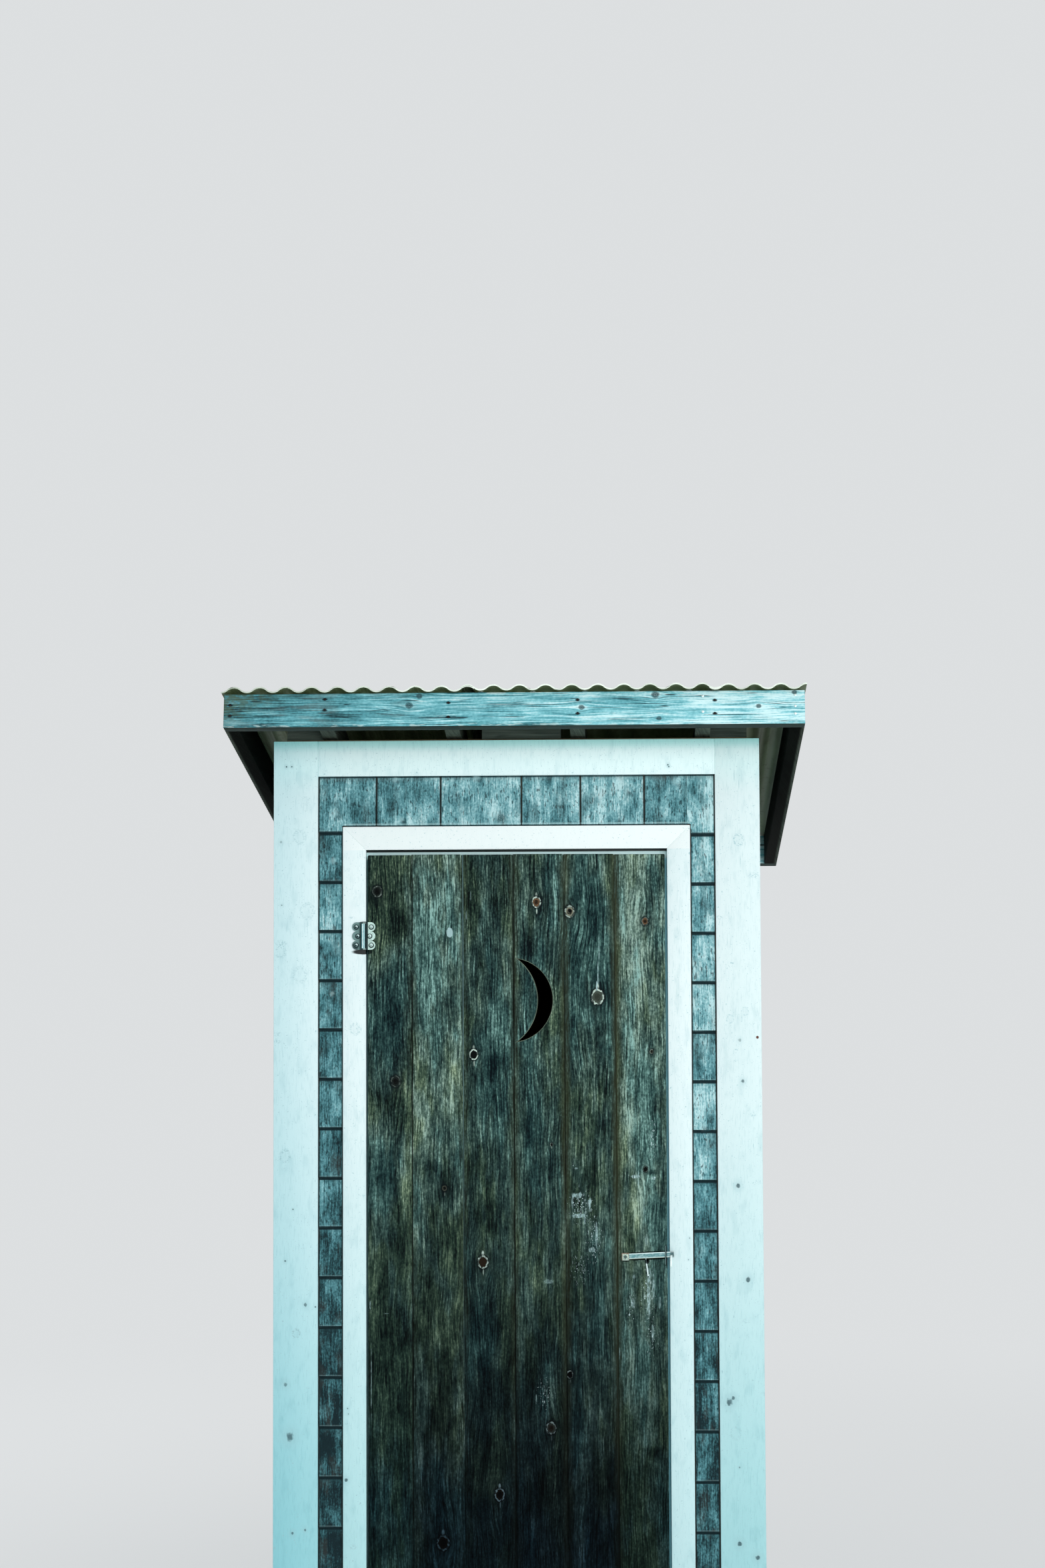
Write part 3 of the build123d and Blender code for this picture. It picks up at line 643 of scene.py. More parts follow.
def shingle_finish():
    """Cedar gone silver, with streaks and pits down each shingle; painted shade to the left, low
    courses darker, partly damp and partly painted shade; at each butt painted shade and a faint
    painted highlight, and painted shadow under each butt and under the frieze.
    """
    f = Finish("weathered_shingle", roughness=0.85)
    tone = f.attribute("tone")
    shift = f.attribute("seed") * 31.0
    rise = f.attribute("rise")
    across = f.attribute("across")
    line = across + f.swing(across * 14, shift, f.z * 9, 2) * 0.012
    fine, streak, band = fibres(f, line, shift, f.z, 0.0, 0.5)
    cloud = f.swing(across * 22, shift, f.z * 15, 3)
    stripe = f.swing(line * 60, shift, f.z * 4.0, 2)
    side = f.x.clear(-0.50, 0.50)
    grit = f.swing(across * 230, shift, f.z * 160, 3, 0.6)
    light = fine * 1.25 + streak * 0.45 + grit * 0.85 + band * 0.45 + stripe * 0.50
    light = light + cloud * 1.35 + tone * 0.50 + 0.27
    # Painted shade darker to the left; low courses darker, partly damp and partly painted shade
    light = light + side * 0.24 - f.z.clear(2.05, 0.30) * (side * 0.14 + 0.42)
    f.colour = f.ramp(light, shingle_stops)
    pits = f.noise(line * 260, shift, f.z * 70, 1).clear(0.615, 0.68)
    f.coat(pits * 0.72, shingle_dark)
    warm = f.noise(across * 30, shift, f.z * 12, 2).clear(0.50, 0.66) * 0.16
    under_frieze = f.z.clear(frieze_low.z - 0.020, frieze_low.z) * 0.35
    f.coat(warm + under_frieze, shingle_brown)
    # At each butt: painted shade on its lowest edge and a faint painted highlight above it; under
    # the butt above, painted shade and a painted shadow line
    f.coat(rise.clear(0.052, 0.036) * 0.12, shingle_pale)
    f.coat(rise.clear(0.032, 0.020) * 0.95, shingle_dark)
    f.coat(rise.clear(0.86, 1.0) * 0.35, shingle_dim)
    f.coat(rise.clear(0.945, 0.960) * 0.97, shingle_dark)
    edge = f.attribute("half") - (across - f.attribute("middle")).size()
    f.coat(edge.clear(0.0034, 0.0012) * 0.50, joint_brown)
    f.coat(edge.clear(0.0018, 0.0008) * 0.80, shingle_dark)
    on_front = f.y.clear(sheathing_y + 0.01, sheathing_y)
    # A painted shadow line under the front frieze
    shade = f.z.clear(frieze_low.z - 0.0050, frieze_low.z - 0.0035) * on_front
    f.coat(shade * 0.85, shingle_dark)
    rim = f.z.clear(head_high.z + 0.0095, head_high.z + 0.0075)
    rim = rim * f.z.clear(head_high.z + 0.0030, head_high.z + 0.0050)
    rim = rim * f.x.size().clear(casing_half, casing_half - 0.002) * on_front
    f.coat(rim * 0.35, shingle_pale)
    on_casing = f.z.clear(head_high.z + 0.0044, head_high.z + 0.0032)
    on_casing = on_casing * f.x.size().clear(casing_half + 0.001, casing_half)
    f.coat(on_casing * f.y.clear(0, -0.3) * 0.92, shingle_dark)
    for x, z, radius, depth in in_metres(shingle_knots, 3):
        reach = f.spot((x, z), (radius, radius * 0.8)) + cloud * 1.4 + fine * 1.2
        above = (x - radius * 1.5, z + radius * 1.2)
        pale_side = f.spot(above, (radius * 1.8, radius * 2.0)) + cloud * 1.4
        f.coat(pale_side.clear(1.3, 0.2) * 0.35, shingle_pale)
        f.coat(reach.clear(2.2, 0.9) * 0.40, shingle_dim)
        whorl = (reach * 11.0).sine() * 0.4 + 0.6
        f.coat(reach.clear(1.25, 0.5) * whorl * depth, shingle_dark)
    f.bump(fine * 0.6 + streak * 0.8 - pits * 0.6, 0.0012, 0.7)
    return f.finished()


def door_board_finish(number, pale, foot, knots, patches, scuffs, flecks, joints, shades):
    """Old boards: fine grain with pores, olive and teal stains, knots, scuffs, a foot darkened
    partly by damp and partly as painted shade, a painted highlight down one joint and painted
    shadows by the hinges and latch.
    """
    f = Finish(f"door_board_{number}", roughness=0.75, specular=0.04)
    shift = number * 3.7
    wander = f.swing(f.x * 9, shift, f.z * 3.4, 2) * 0.030
    wander = wander + f.swing(f.x * 34, shift, f.z * 13, 1) * 0.007
    across = parted(f, f.x, knots) + wander
    fine, streak, band = fibres(f, across, f.y * 0.2, f.z, shift, 0.75)
    cloud = f.swing(f.x * 20, shift, f.z * 11, 4, 0.6)
    grit = f.swing(f.x * 230, shift, f.z * 130, 3, 0.6)
    pores = f.noise(across * 290, shift, f.z * 24, 2).clear(0.555, 0.66)
    calm = 1 - f.z.clear(1.65, 1.05) * 0.22
    light = (fine * 1.65 + streak * 0.62 + grit * 0.95) * calm
    light = light + band * 0.50 + cloud * 0.95 - pores * 0.20 + pale
    light = light - year_lines(f, across, f.z, shift, 0.0088, 0.17) * calm + 0.03
    rough = f.swing(f.x * 42, shift, f.z * 20, 2) * 1.5
    for x, z, wide, tall, shade in patches:
        light = light + (f.spot((x, z), (wide, tall)) + rough).clear(1.2, 0.0) * shade * 0.85
    f.colour = f.ramp(light, board_stops)
    hue = f.noise(f.x * 11, shift, f.z * 2.8, 3)
    hue = hue + f.swing(f.x * 60, shift, f.z * 16, 2) * 0.28 - light * 0.10
    f.tint(hue.clear(0.44, 0.58), board_olive)
    f.tint(hue.clear(0.44, 0.32), board_teal)
    for x, half_width, line_colour, strength, stain in joints:
        side = (f.x - x).size()
        f.coat(side.clear(0.019, 0.003) * stain, board_brown)
        # The painted highlight fades towards the foot
        upper = f.z.clear(0.45, 1.75) * strength if line_colour == groove_painted_highlight else strength
        upper = f.noise(f.x * 40, 9.0, f.z * 7, 2).clear(0.24, 0.42) * upper
        f.coat(side.clear(half_width, half_width * 0.6) * upper, line_colour)
    knotted(f, knots)
    # The foot darkens, partly damp and partly painted shade
    f.tint((f.z + band * 0.5).clear(1.45, 0.38), foot)
    worn = f.noise(f.x * 360, 1.0, f.z * 70, 3).clear(0.40, 0.58)
    ragged = f.swing(f.x * 110, 2.0, f.z * 50, 2) * 1.5
    outside = f.y.clear(door_low.y + 0.012, door_low.y + 0.008)
    for x, z, wide, tall, strength in scuffs:
        solid = strength > 0.89
        reach = f.spot((x, z), (wide, tall)) + (ragged * 0.3 if solid else ragged)
        whole = reach.clear(1.0, 0.8 if solid else 0.6) * outside
        f.coat(whole * strength if solid else whole * (worn * 0.8 + 0.2) * strength, board_paint)
    if flecks:
        grit = f.noise(f.x * 330, 3.0, f.z * 190, 2)
        smear = f.noise(f.x * 520, 5.0, f.z * 60, 2)
        for x, z, wide, tall, strength in flecks:
            near = f.spot((x, z), (wide, tall)).clear(1.0, 0.1) * outside
            dots = (grit + near * 0.065).clear(0.690, 0.725)
            dots = dots + (smear + near * 0.065).clear(0.690, 0.725)
            f.coat(dots.smaller(1.0) * near.clear(0, 0.15) * strength, fleck_white)
    # Painted shadows by the hinges and the latch
    for x, z, wide, tall in shades:
        f.coat(f.spot((x, z), (wide, tall)).clear(1.2, 0.7) * outside * 0.93, painted_shadow_black)
    f.bump(fine * 0.8 + streak * 0.8 + band * 0.3 - pores * 0.4, 0.0016, 0.7)
    return f.finished()


def timber_finish(name, pale, dark, direction="z"):
    """Plain unpainted wood with its grain along one axis."""
    f = Finish(name, roughness=0.82)
    order = {"x": (f.y, f.z, f.x), "y": (f.x, f.z, f.y), "z": (f.x, f.y, f.z)}[direction]
    across = order[0] + order[1] * 0.7
    across = across + f.swing(across * 9, 0.0, order[2] * 2.5, 2) * 0.02
    fine, streak, band = fibres(f, across, order[1], order[2])
    light = fine * 0.8 + streak * 1.1 + band + 0.5
    f.colour = f.mix(light.clear(0.0, 1.0), dark, pale)
    specks = f.noise(across * 30, order[1] * 30, order[2] * 9, 2).clear(0.68, 0.78)
    f.coat(specks * 0.6, dark)
    f.bump(fine * 0.7 + streak * 0.9, 0.0012, 0.7)
    return f.finished()


def fascia_finish():
    """Blue-grey weathered timber with knots and long checks, brighter to the right, with painted
    shade on its underside and a painted highlight along its lower rim.
    """
    f = Finish("weathered_fascia", roughness=0.8)
    top = fascia_high.z
    top_y = fascia_low.y + fascia_face * math.sin(roof_slope)
    down = (f.y - top_y) * -math.sin(roof_slope) - (f.z - top) * math.cos(roof_slope)
    knots = [Knot(x, top - drop, radius) for x, drop, radius in in_metres(fascia_knots, 3)]
    along = f.z
    for knot in knots:
        reach = f.spot((knot.x, knot.z), (knot.radius * 3.6, knot.radius * 1.8))
        along = along - (f.z - knot.z) * (0.85 / (reach * reach + 0.9))
    along = along + f.swing(f.x * 1.6, 3.0, f.z * 9, 2) * 0.016
    along = along + f.swing(f.x * 7, 5.0, f.z * 24, 1) * 0.0016
    fine, streak, band = fibres(f, along, f.y * 0.2, f.x, 0.0, 1.3)
    cloud = f.swing(f.x * 9.0, 1.0, f.z * 26, 3)
    grit = f.swing(f.x * 130, 8.0, f.z * 190, 2)
    light = fine * 1.45 + streak * 0.70 + grit * 0.40 + band * 0.65 + cloud * 1.10 + 0.28
    light = light + f.x.clear(-1.15, 0.80) * 0.55
    f.colour = f.ramp(light, fascia_stops)
    grey = f.noise(f.x * 9, 4.0, f.z * 50, 3).clear(0.50, 0.66) * f.x.clear(0.2, -0.7)
    f.coat(grey * 0.45, fascia_grey)
    corner = (f.x + 0.75) + down * 2.2
    moss = corner.clear(0.26, 0.04) * f.noise(f.x * 60, 2.0, f.z * 130, 3).clear(0.36, 0.56)
    f.coat(moss * 0.75, fascia_moss)
    contour = f.swing(f.x * 2.6, 9.0, along * 115, 2, 0.4).size()
    here = f.noise(f.x * 7.0, 7.0, f.z * 55, 2).clear(0.47, 0.60)
    cracks = contour.clear(0.020, 0.003) * here
    f.coat(cracks * 0.85, fascia_crack)
    rough = f.swing(f.x * 120, 0.0, f.z * 160, 2) * 0.6
    for knot in knots:
        reach = f.spot((knot.x, knot.z), (knot.radius * 1.15, knot.radius)) + rough
        rings = (reach * 14.0).sine() * 0.5 + 0.5
        f.coat(reach.clear(1.25, 0.80) * (0.70 + rings * 0.25), fascia_knot)
        ray = f.spot((knot.x, knot.z), (knot.radius * 3.2, 0.0011)) + rough * 0.8
        f.coat(ray.clear(1.0, 0.5) * 0.55, fascia_crack)
    stains = [(x, drop, *nail_stain) for x, *drops in nail_pairs for drop in drops]
    for x, drop, wide, tall in in_metres(fascia_checks, 4) + stains:
        check = f.spot((x, top - drop), (wide, tall)) + rough * 0.9
        f.coat(check.clear(1.15, 0.7) * 0.9, fascia_crack)
    chipped = f.noise(f.x * 34, 6.0, f.z * 160, 3)
    rim = down.clear(0.0052, 0.0010) * f.spot((0.02, top), (0.15, 1.0)).clear(1.0, 0.4)
    f.coat((chipped + rim * 0.22).clear(0.60, 0.66) * rim, fascia_bare_and_highlight)
    # Along the lower rim: worn pale wood and a painted highlight
    low_rim = down.clear(0.0790, 0.0850) * chipped.clear(0.50, 0.62)
    f.coat(low_rim * 0.55, fascia_bare_and_highlight)
    # Painted shade on the underside
    f.coat(down.clear(0.0872, 0.0886) * 0.97, fascia_underside_shade)
    f.bump(fine * 0.7 + streak * 0.7 - cracks * 1.2, 0.0014, 0.7)
    return f.finished()


def zinc_finish():
    """Zinc-plated steel, a little dulled and spotted."""
    roughness = 0.34
    f = Finish("zinc_steel", roughness=roughness, specular=0.5)
    cloud = f.noise(f.x * 45, f.y * 45, f.z * 45, 2).clear(0.40, 0.75)
    spots = f.noise(f.x * 210, f.y * 210, f.z * 210, 2).clear(0.675, 0.775)
    f.colour = f.mix(cloud * 0.6, zinc_pale, zinc_dark)
    f.coat(spots * 0.27, rust)
    f.set("Metallic", 0.8 - spots * 0.6)
    f.set("Roughness", roughness + cloud * 0.12 + spots * 0.2)
    f.bump(cloud + spots, 0.0002, 0.3)
    return f.finished()


def apart(a, b):
    """Distance from two offsets."""
    return (a * a + b * b) ** 0.5


def hinge_finish():
    """Zinc gone mint and grey, with painted highlights down the barrel and on the screws, and
    painted shade beside the barrel, on the left leaf's lower part and round the screws.
    """
    f = Finish("zinc_hinge", roughness=0.50, specular=0.15)
    across = f.x - barrel_x
    low_z, high_z = hinge_heights
    rise = f.z - low_z - f.z.clear(1.0, 1.1) * (high_z - low_z)
    cloud = f.noise(f.x * 170, f.y * 170, f.z * 110, 2).clear(0.40, 0.66)
    leaf = f.mix(across.clear(-0.004, 0.004), leaf_dull, leaf_mint)
    f.colour = f.mix(cloud * 0.35, leaf, leaf_dull)
    # Painted shade beside the barrel on both sides and on the left leaf's lower part
    f.coat(across.clear(-0.0150, -0.0080) * across.clear(0.0, -0.004) * 0.85, metal_painted_shade)
    f.coat(across.clear(0.0118, 0.0100) * across.clear(0.0040, 0.0050) * 0.97, metal_painted_shade)
    f.coat(across.clear(-0.0120, -0.0180) * rise.clear(-0.012, -0.024) * 0.7, metal_painted_shade)
    # Round each screw: painted shadow below it, a painted highlight on its upper side and painted
    # shade on its lower side
    for dx, dz in hinge_screws:
        reach = apart(across - dx, rise - dz)
        under = apart(across - dx, rise - dz + 0.0007)
        f.coat(under.clear(0.0080, 0.0060) * 0.95, metal_painted_shade)
        f.coat(reach.clear(0.0047, 0.0041), leaf_dull if dx < 0 else leaf_mint)
        lit = apart(across - dx - 0.0012, rise - dz - 0.0012)
        f.coat(lit.clear(0.0030, 0.0018), zinc_pale_and_highlight)
        dim = apart(across - dx + 0.0008, rise - dz + 0.0012)
        f.coat(dim.clear(0.0030, 0.0020) * (0.95 if dx < 0 else 0.45), metal_painted_shade)
    # The barrel: two painted highlights and painted shade down both sides
    ripple = f.swing(across * 90, 0.0, f.z * 60, 2) * 0.0030
    spread = across + ripple
    barrel = f.mix((spread + 0.0020).size().clear(0.0022, 0.0010), barrel_teal, zinc_pale_and_highlight)
    barrel = f.mix((spread - 0.0022).size().clear(0.0011, 0.0005) * 0.6, barrel, zinc_pale_and_highlight)
    barrel = f.mix(across.clear(0.0030, 0.0040), barrel, metal_painted_shade)
    barrel = f.mix(across.clear(-0.0046, -0.0058) * 0.7, barrel, metal_painted_shade)
    on_barrel = across.size().clear(0.0064, 0.0060) * rise.size().clear(0.0322, 0.0316)
    f.coat(on_barrel, barrel)
    f.set("Metallic", on_barrel * 0.15)
    f.bump(cloud, 0.0002, 0.3)
    return f.finished()


def latch_finish():
    """Brushed steel bar with painted highlights along both edges, a white lifter pin with painted
    shade at its top, and painted shade darkening its end.
    """
    f = Finish("brushed_latch_bar", roughness=0.42, specular=0.4)
    off_line = (f.z - pivot_z - (f.x - pivot_x) * math.tan(bar_rise)) / 0.007
    brushed = f.noise(f.x * 70, f.y * 100, f.z * 700, 3).clear(0.36, 0.64)
    blotch = f.noise(f.x * 130, 2.0, f.z * 150, 2).clear(0.45, 0.62)
    f.colour = f.mix(brushed * 0.6, latch_teal, leaf_dull)
    f.coat(blotch * 0.25, zinc_pale_and_highlight)
    # Painted highlights along both edges
    f.coat(off_line.clear(0.62, 0.80) * 0.85, zinc_pale_and_highlight)
    f.coat(off_line.clear(-0.50, -0.66) * 0.55, zinc_pale_and_highlight)
    f.coat(off_line.clear(-0.78, -0.90) * off_line.clear(-1.3, -1.0) * 0.9, latch_ochre)
    # Painted shade at the bar's end and on the pin's upper part under the bar
    f.coat((f.x - pivot_x).clear(0.112, 0.117) * 0.6, metal_painted_shade)
    pin = f.mix(off_line.clear(-3.2, -2.6), zinc_pale_and_highlight, metal_painted_shade)
    f.coat(off_line.clear(-1.15, -1.40), pin)
    f.set("Metallic", off_line.size().clear(1.1, 0.8) * 0.12)
    return f.finished()


def plate_finish():
    """The pivot plate, rusty at its top and left, with painted shade at its screw; the keeper,
    bright left and with painted shade on its right.
    """
    f = Finish("rusty_plate", roughness=0.55, specular=0.3)
    keeper_low, keeper_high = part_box("latch_keeper")
    keeper_x = (keeper_low.x + keeper_high.x) / 2
    dx = f.x - pivot_x
    dz = f.z - pivot_z
    cloud = f.noise(f.x * 210, f.y * 210, f.z * 210, 3)
    f.colour = f.mix(cloud.clear(0.4, 0.62) * 0.6, plate_pale, leaf_dull)
    edge = dz.clear(0.0045, 0.0092) + dx.clear(-0.0060, -0.0092) + dx.clear(0.0072, 0.0092) * 0.8
    rusty = edge.smaller(1.0) * 0.75 + cloud.clear(0.55, 0.70) * 0.35
    f.coat(rusty.smaller(1.0), rust)
    # Painted shade at the screw head's rim and in its recess
    reach = apart(dx, dz)
    f.coat(reach.clear(0.0044, 0.0036) * 0.9, metal_painted_shade)
    f.coat(reach.clear(0.0028, 0.0022) * 0.8, leaf_dull)
    f.coat(reach.clear(0.0012, 0.0008) * 0.9, metal_painted_shade)
    # The keeper: painted shade on its right side
    side = f.x - keeper_x
    keeper = f.mix(side.clear(-0.0012, -0.0004), leaf_dull, metal_painted_shade)
    f.coat(side.clear(-0.006, -0.004), keeper)
    f.set("Metallic", 0.25 - rusty.smaller(1.0) * 0.2)
    return f.finished()


def sheet_finish():
    """Translucent corrugated sheet, stained along its troughs, its cut ends pale with a painted
    highlight.
    """
    f = Finish("translucent_sheet", roughness=0.5, specular=0.3)
    fall, level = math.sin(roof_slope), math.cos(roof_slope)
    down = (f.y - front_y) * level - (f.z - roof_top) * fall
    lift = (f.y - front_y) * fall + (f.z - roof_top) * level
    stain = f.noise(f.x * 14, f.y * 2.2, 1.0, 4, 0.6).clear(0.38, 0.72)
    moss = f.noise(f.x * 60, f.y * 45, f.z * 60, 3).clear(0.56, 0.70)
    f.colour = f.mix(stain * 0.65, sheet_olive, sheet_stain)
    f.coat(lift.clear(0.010, 0.004) * 0.5, sheet_stain)
    f.coat(moss * 0.5, sheet_stain)
    # The cut end: pale with a painted highlight, brighter to the right, also painted onto the
    # crests just behind it
    end = down.clear(sheet_end + 0.0012, sheet_end + 0.0004)
    uneven = f.noise(f.x * 16, 3.0, 0.0, 2).clear(0.30, 0.62) * 0.30
    uneven = uneven + f.x.clear(-0.60, -0.05) * 0.40 + 0.35 - f.x.clear(0.15, 0.40) * 0.15
    f.coat(end * uneven.smaller(1.0), sheet_cut_and_highlight)
    top_side = down.clear(sheet_end + 0.006, sheet_end + 0.002) * lift.clear(0.012, 0.016)
    f.coat(top_side * 0.5, sheet_cut_and_highlight)
    through = f.node("BsdfTranslucent", {}, {"Color": (*sheet_glow, 1.0)})
    surface = Value(f, f.shader.outputs[0])
    # Less translucent at the cut end, which keeps the painted highlight bright
    share = (0.15 + down.clear(0.05, sheet_end) * 0.30) * (1 - end * 0.95)
    both = f.node("MixShader", {}, {0: share, 1: surface, 2: through})
    f.put(f.tree.nodes["Material Output"].inputs["Surface"], both)
    f.bump(stain * 0.3 + moss * 0.7, 0.0006, 0.5)
    return f.finished()


def rake_finish():
    """Rake boards: grey weathered outside, nearly black on the inner side, which is painted shade.
    """
    f = Finish("rake_timber", roughness=0.82, specular=0.03)
    fine, streak, band = fibres(f, f.z + f.x, f.x, f.y)
    light = fine * 0.8 + streak * 1.1 + band + 0.5
    f.colour = f.mix(light.clear(0.0, 1.0), rake_dark, rake_pale)
    # Painted shade on the inner side
    inside = f.x.size().clear(roof_edge - 0.004, roof_edge - 0.012)
    f.tint(inside, rake_painted_shade)
    f.bump(fine * 0.7 + streak * 0.9, 0.0012, 0.7)
    return f.finished()


def floor_finish():
    """Pale floor that fades into the backdrop and keeps the shadow."""
    f = Finish("pale_floor", roughness=0.9)
    cloud = f.noise(f.x * 0.8, f.y * 0.8, 0.0, 2)
    f.colour = f.mix(cloud * 0.15, floor_pale, floor_grey)
    glow = f.node("Emission", {}, {"Color": (*backdrop, 1.0), "Strength": 1.0})
    far = (f.x * f.x + f.y * f.y) ** 0.5
    path = f.node("LightPath", {}, {}, "Is Camera Ray")
    rays = path.socket.node.outputs
    seen = path + Value(f, rays["Is Glossy Ray"]) + Value(f, rays["Is Transmission Ray"])
    share = seen.smaller(1.0) * (far.clear(1.5, 7.0) * 0.5 + 0.5)
    lit = Value(f, f.shader.outputs[0])
    both = f.node("MixShader", {}, {0: share, 1: lit, 2: glow})
    f.put(f.tree.nodes["Material Output"].inputs["Surface"], both)
    return f.finished()


def deselect():
    bpy.ops.object.select_all(action="DESELECT")


def only(obj):
    """Make one object the active and selected one."""
    deselect()
    obj.select_set(True)
    bpy.context.view_layer.objects.active = obj


def block(name, low, high):
    """A box between two corners, its place in its mesh."""
    deselect()
    middle = [(a + b) / 2 for a, b in zip(low, high)]
    bpy.ops.mesh.primitive_cube_add(size=1, location=middle)
    obj = bpy.context.object
    obj.name = name
    obj.scale = [b - a for a, b in zip(low, high)]
    bpy.ops.object.transform_apply(location=True, rotation=True, scale=True)
    return obj


def edit(obj, wanted, kind="VERT"):
    """Enter edit mode with the vertices, edges or faces picked by a test of their middle."""
    only(obj)
    bpy.ops.object.mode_set(mode="EDIT")
    bpy.ops.mesh.select_mode(type=kind)
    bpy.ops.mesh.select_all(action="DESELECT")
    bpy.ops.object.mode_set(mode="OBJECT")
    mesh = obj.data
    if kind == "VERT":
        for vertex in mesh.vertices:
            vertex.select = wanted(vertex.co)
    elif kind == "EDGE":
        for one in mesh.edges:
            ends = [mesh.vertices[k].co for k in one.vertices]
            one.select = all(wanted(end) for end in ends)
    else:
        for face in mesh.polygons:
            face.select = wanted(face.center)
    bpy.ops.object.mode_set(mode="EDIT")


def done():
    bpy.ops.object.mode_set(mode="OBJECT")


def modify(obj, kind, **settings):
    """Add a modifier and apply it."""
    only(obj)
    modifier = obj.modifiers.new(kind.lower(), kind)
    for key, value in settings.items():
        setattr(modifier, key, value)
    bpy.ops.object.modifier_apply(modifier=modifier.name)


def smooth(obj, degrees=35):
    only(obj)
    bpy.ops.object.shade_smooth_by_angle(angle=math.radians(degrees))


def ease(obj, width):
    """Round the sharp edges a little, as a plane or worn corner does."""
    modify(obj, "BEVEL", width=width, segments=2, limit_method="ANGLE",
           angle_limit=math.radians(30), harden_normals=False)
    smooth(obj)


def join(name, parts):
    """One object from several."""
    deselect()
    for part in parts:
        part.select_set(True)
    bpy.context.view_layer.objects.active = parts[0]
    if len(parts) > 1:
        bpy.ops.object.join()
    obj = bpy.context.object
    obj.name = name
    return obj


def copied(source):
    """A copy of an object with its own mesh."""
    obj = source.copy()
    obj.data = source.data.copy()
    bpy.context.scene.collection.objects.link(obj)
    return obj


def rod(name, radius, depth, place, sides):
    """A round bar along Y, its place in its mesh."""
    deselect()
    bpy.ops.mesh.primitive_cylinder_add(vertices=sides, radius=radius, depth=depth,
                                        rotation=(math.pi / 2, 0, 0), location=place)
    obj = bpy.context.object
    obj.name = name
    bpy.ops.object.transform_apply(location=True, rotation=True, scale=True)
    return obj


def settle(obj, body, slot, material, *replaced):
    """Give a finished piece its body and material. The slot is not used."""
    if material is not None:
        obj.data.materials.clear()
        obj.data.materials.append(material)
    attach(obj, body)
    if replaced:
        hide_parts(*replaced)


def merged_copy(node):
    """A copy of a node's shape with its facets merged."""
    obj = copied(nodes[node])
    obj.name = node + "_eased"
    obj.parent = None
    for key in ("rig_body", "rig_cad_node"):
        if key in obj:
            del obj[key]
    edit(obj, lambda place: True)
    bpy.ops.mesh.remove_doubles(threshold=0.00001)
    bpy.ops.mesh.dissolve_limited(angle_limit=math.radians(1))
    done()
    return obj


def eased_copy(node, width):
    """A merged copy with its edges eased."""
    obj = merged_copy(node)
    ease(obj, width)
    return obj


def roof_place(x, down, lift):
    """A point of the roof's own frame: x, distance down the slope, height over the rafters."""
    y = front_y + down * math.cos(roof_slope) + lift * math.sin(roof_slope)
    z = roof_top - down * math.sin(roof_slope) + lift * math.cos(roof_slope)
    return Vector((x, y, z))


def shingle_stock():
    """One shingle 100 mm wide, its butt at z = 0 and its face to -Y."""
    top = exposure + hidden_length
    obj = block("shingle_stock", (-stock_width / 2, -butt_thickness, 0), (stock_width / 2, 0, top))
    thinner = course_taper * top / exposure
    edit(obj, lambda place: place.z > exposure and place.y < -butt_thickness / 2)
    bpy.ops.transform.translate(value=(0, thinner, 0))
    done()
    edit(obj, lambda place: place.y < -butt_thickness / 2 and place.z < exposure / 2, "EDGE")
    bpy.ops.mesh.bevel(offset=butt_round, segments=2, affect="EDGES")
    done()
    only(obj)
    return obj


def add_float(obj, name, value):
    attribute = obj.data.attributes.new(name, "FLOAT", "POINT")
    attribute.data.foreach_set("value", value)


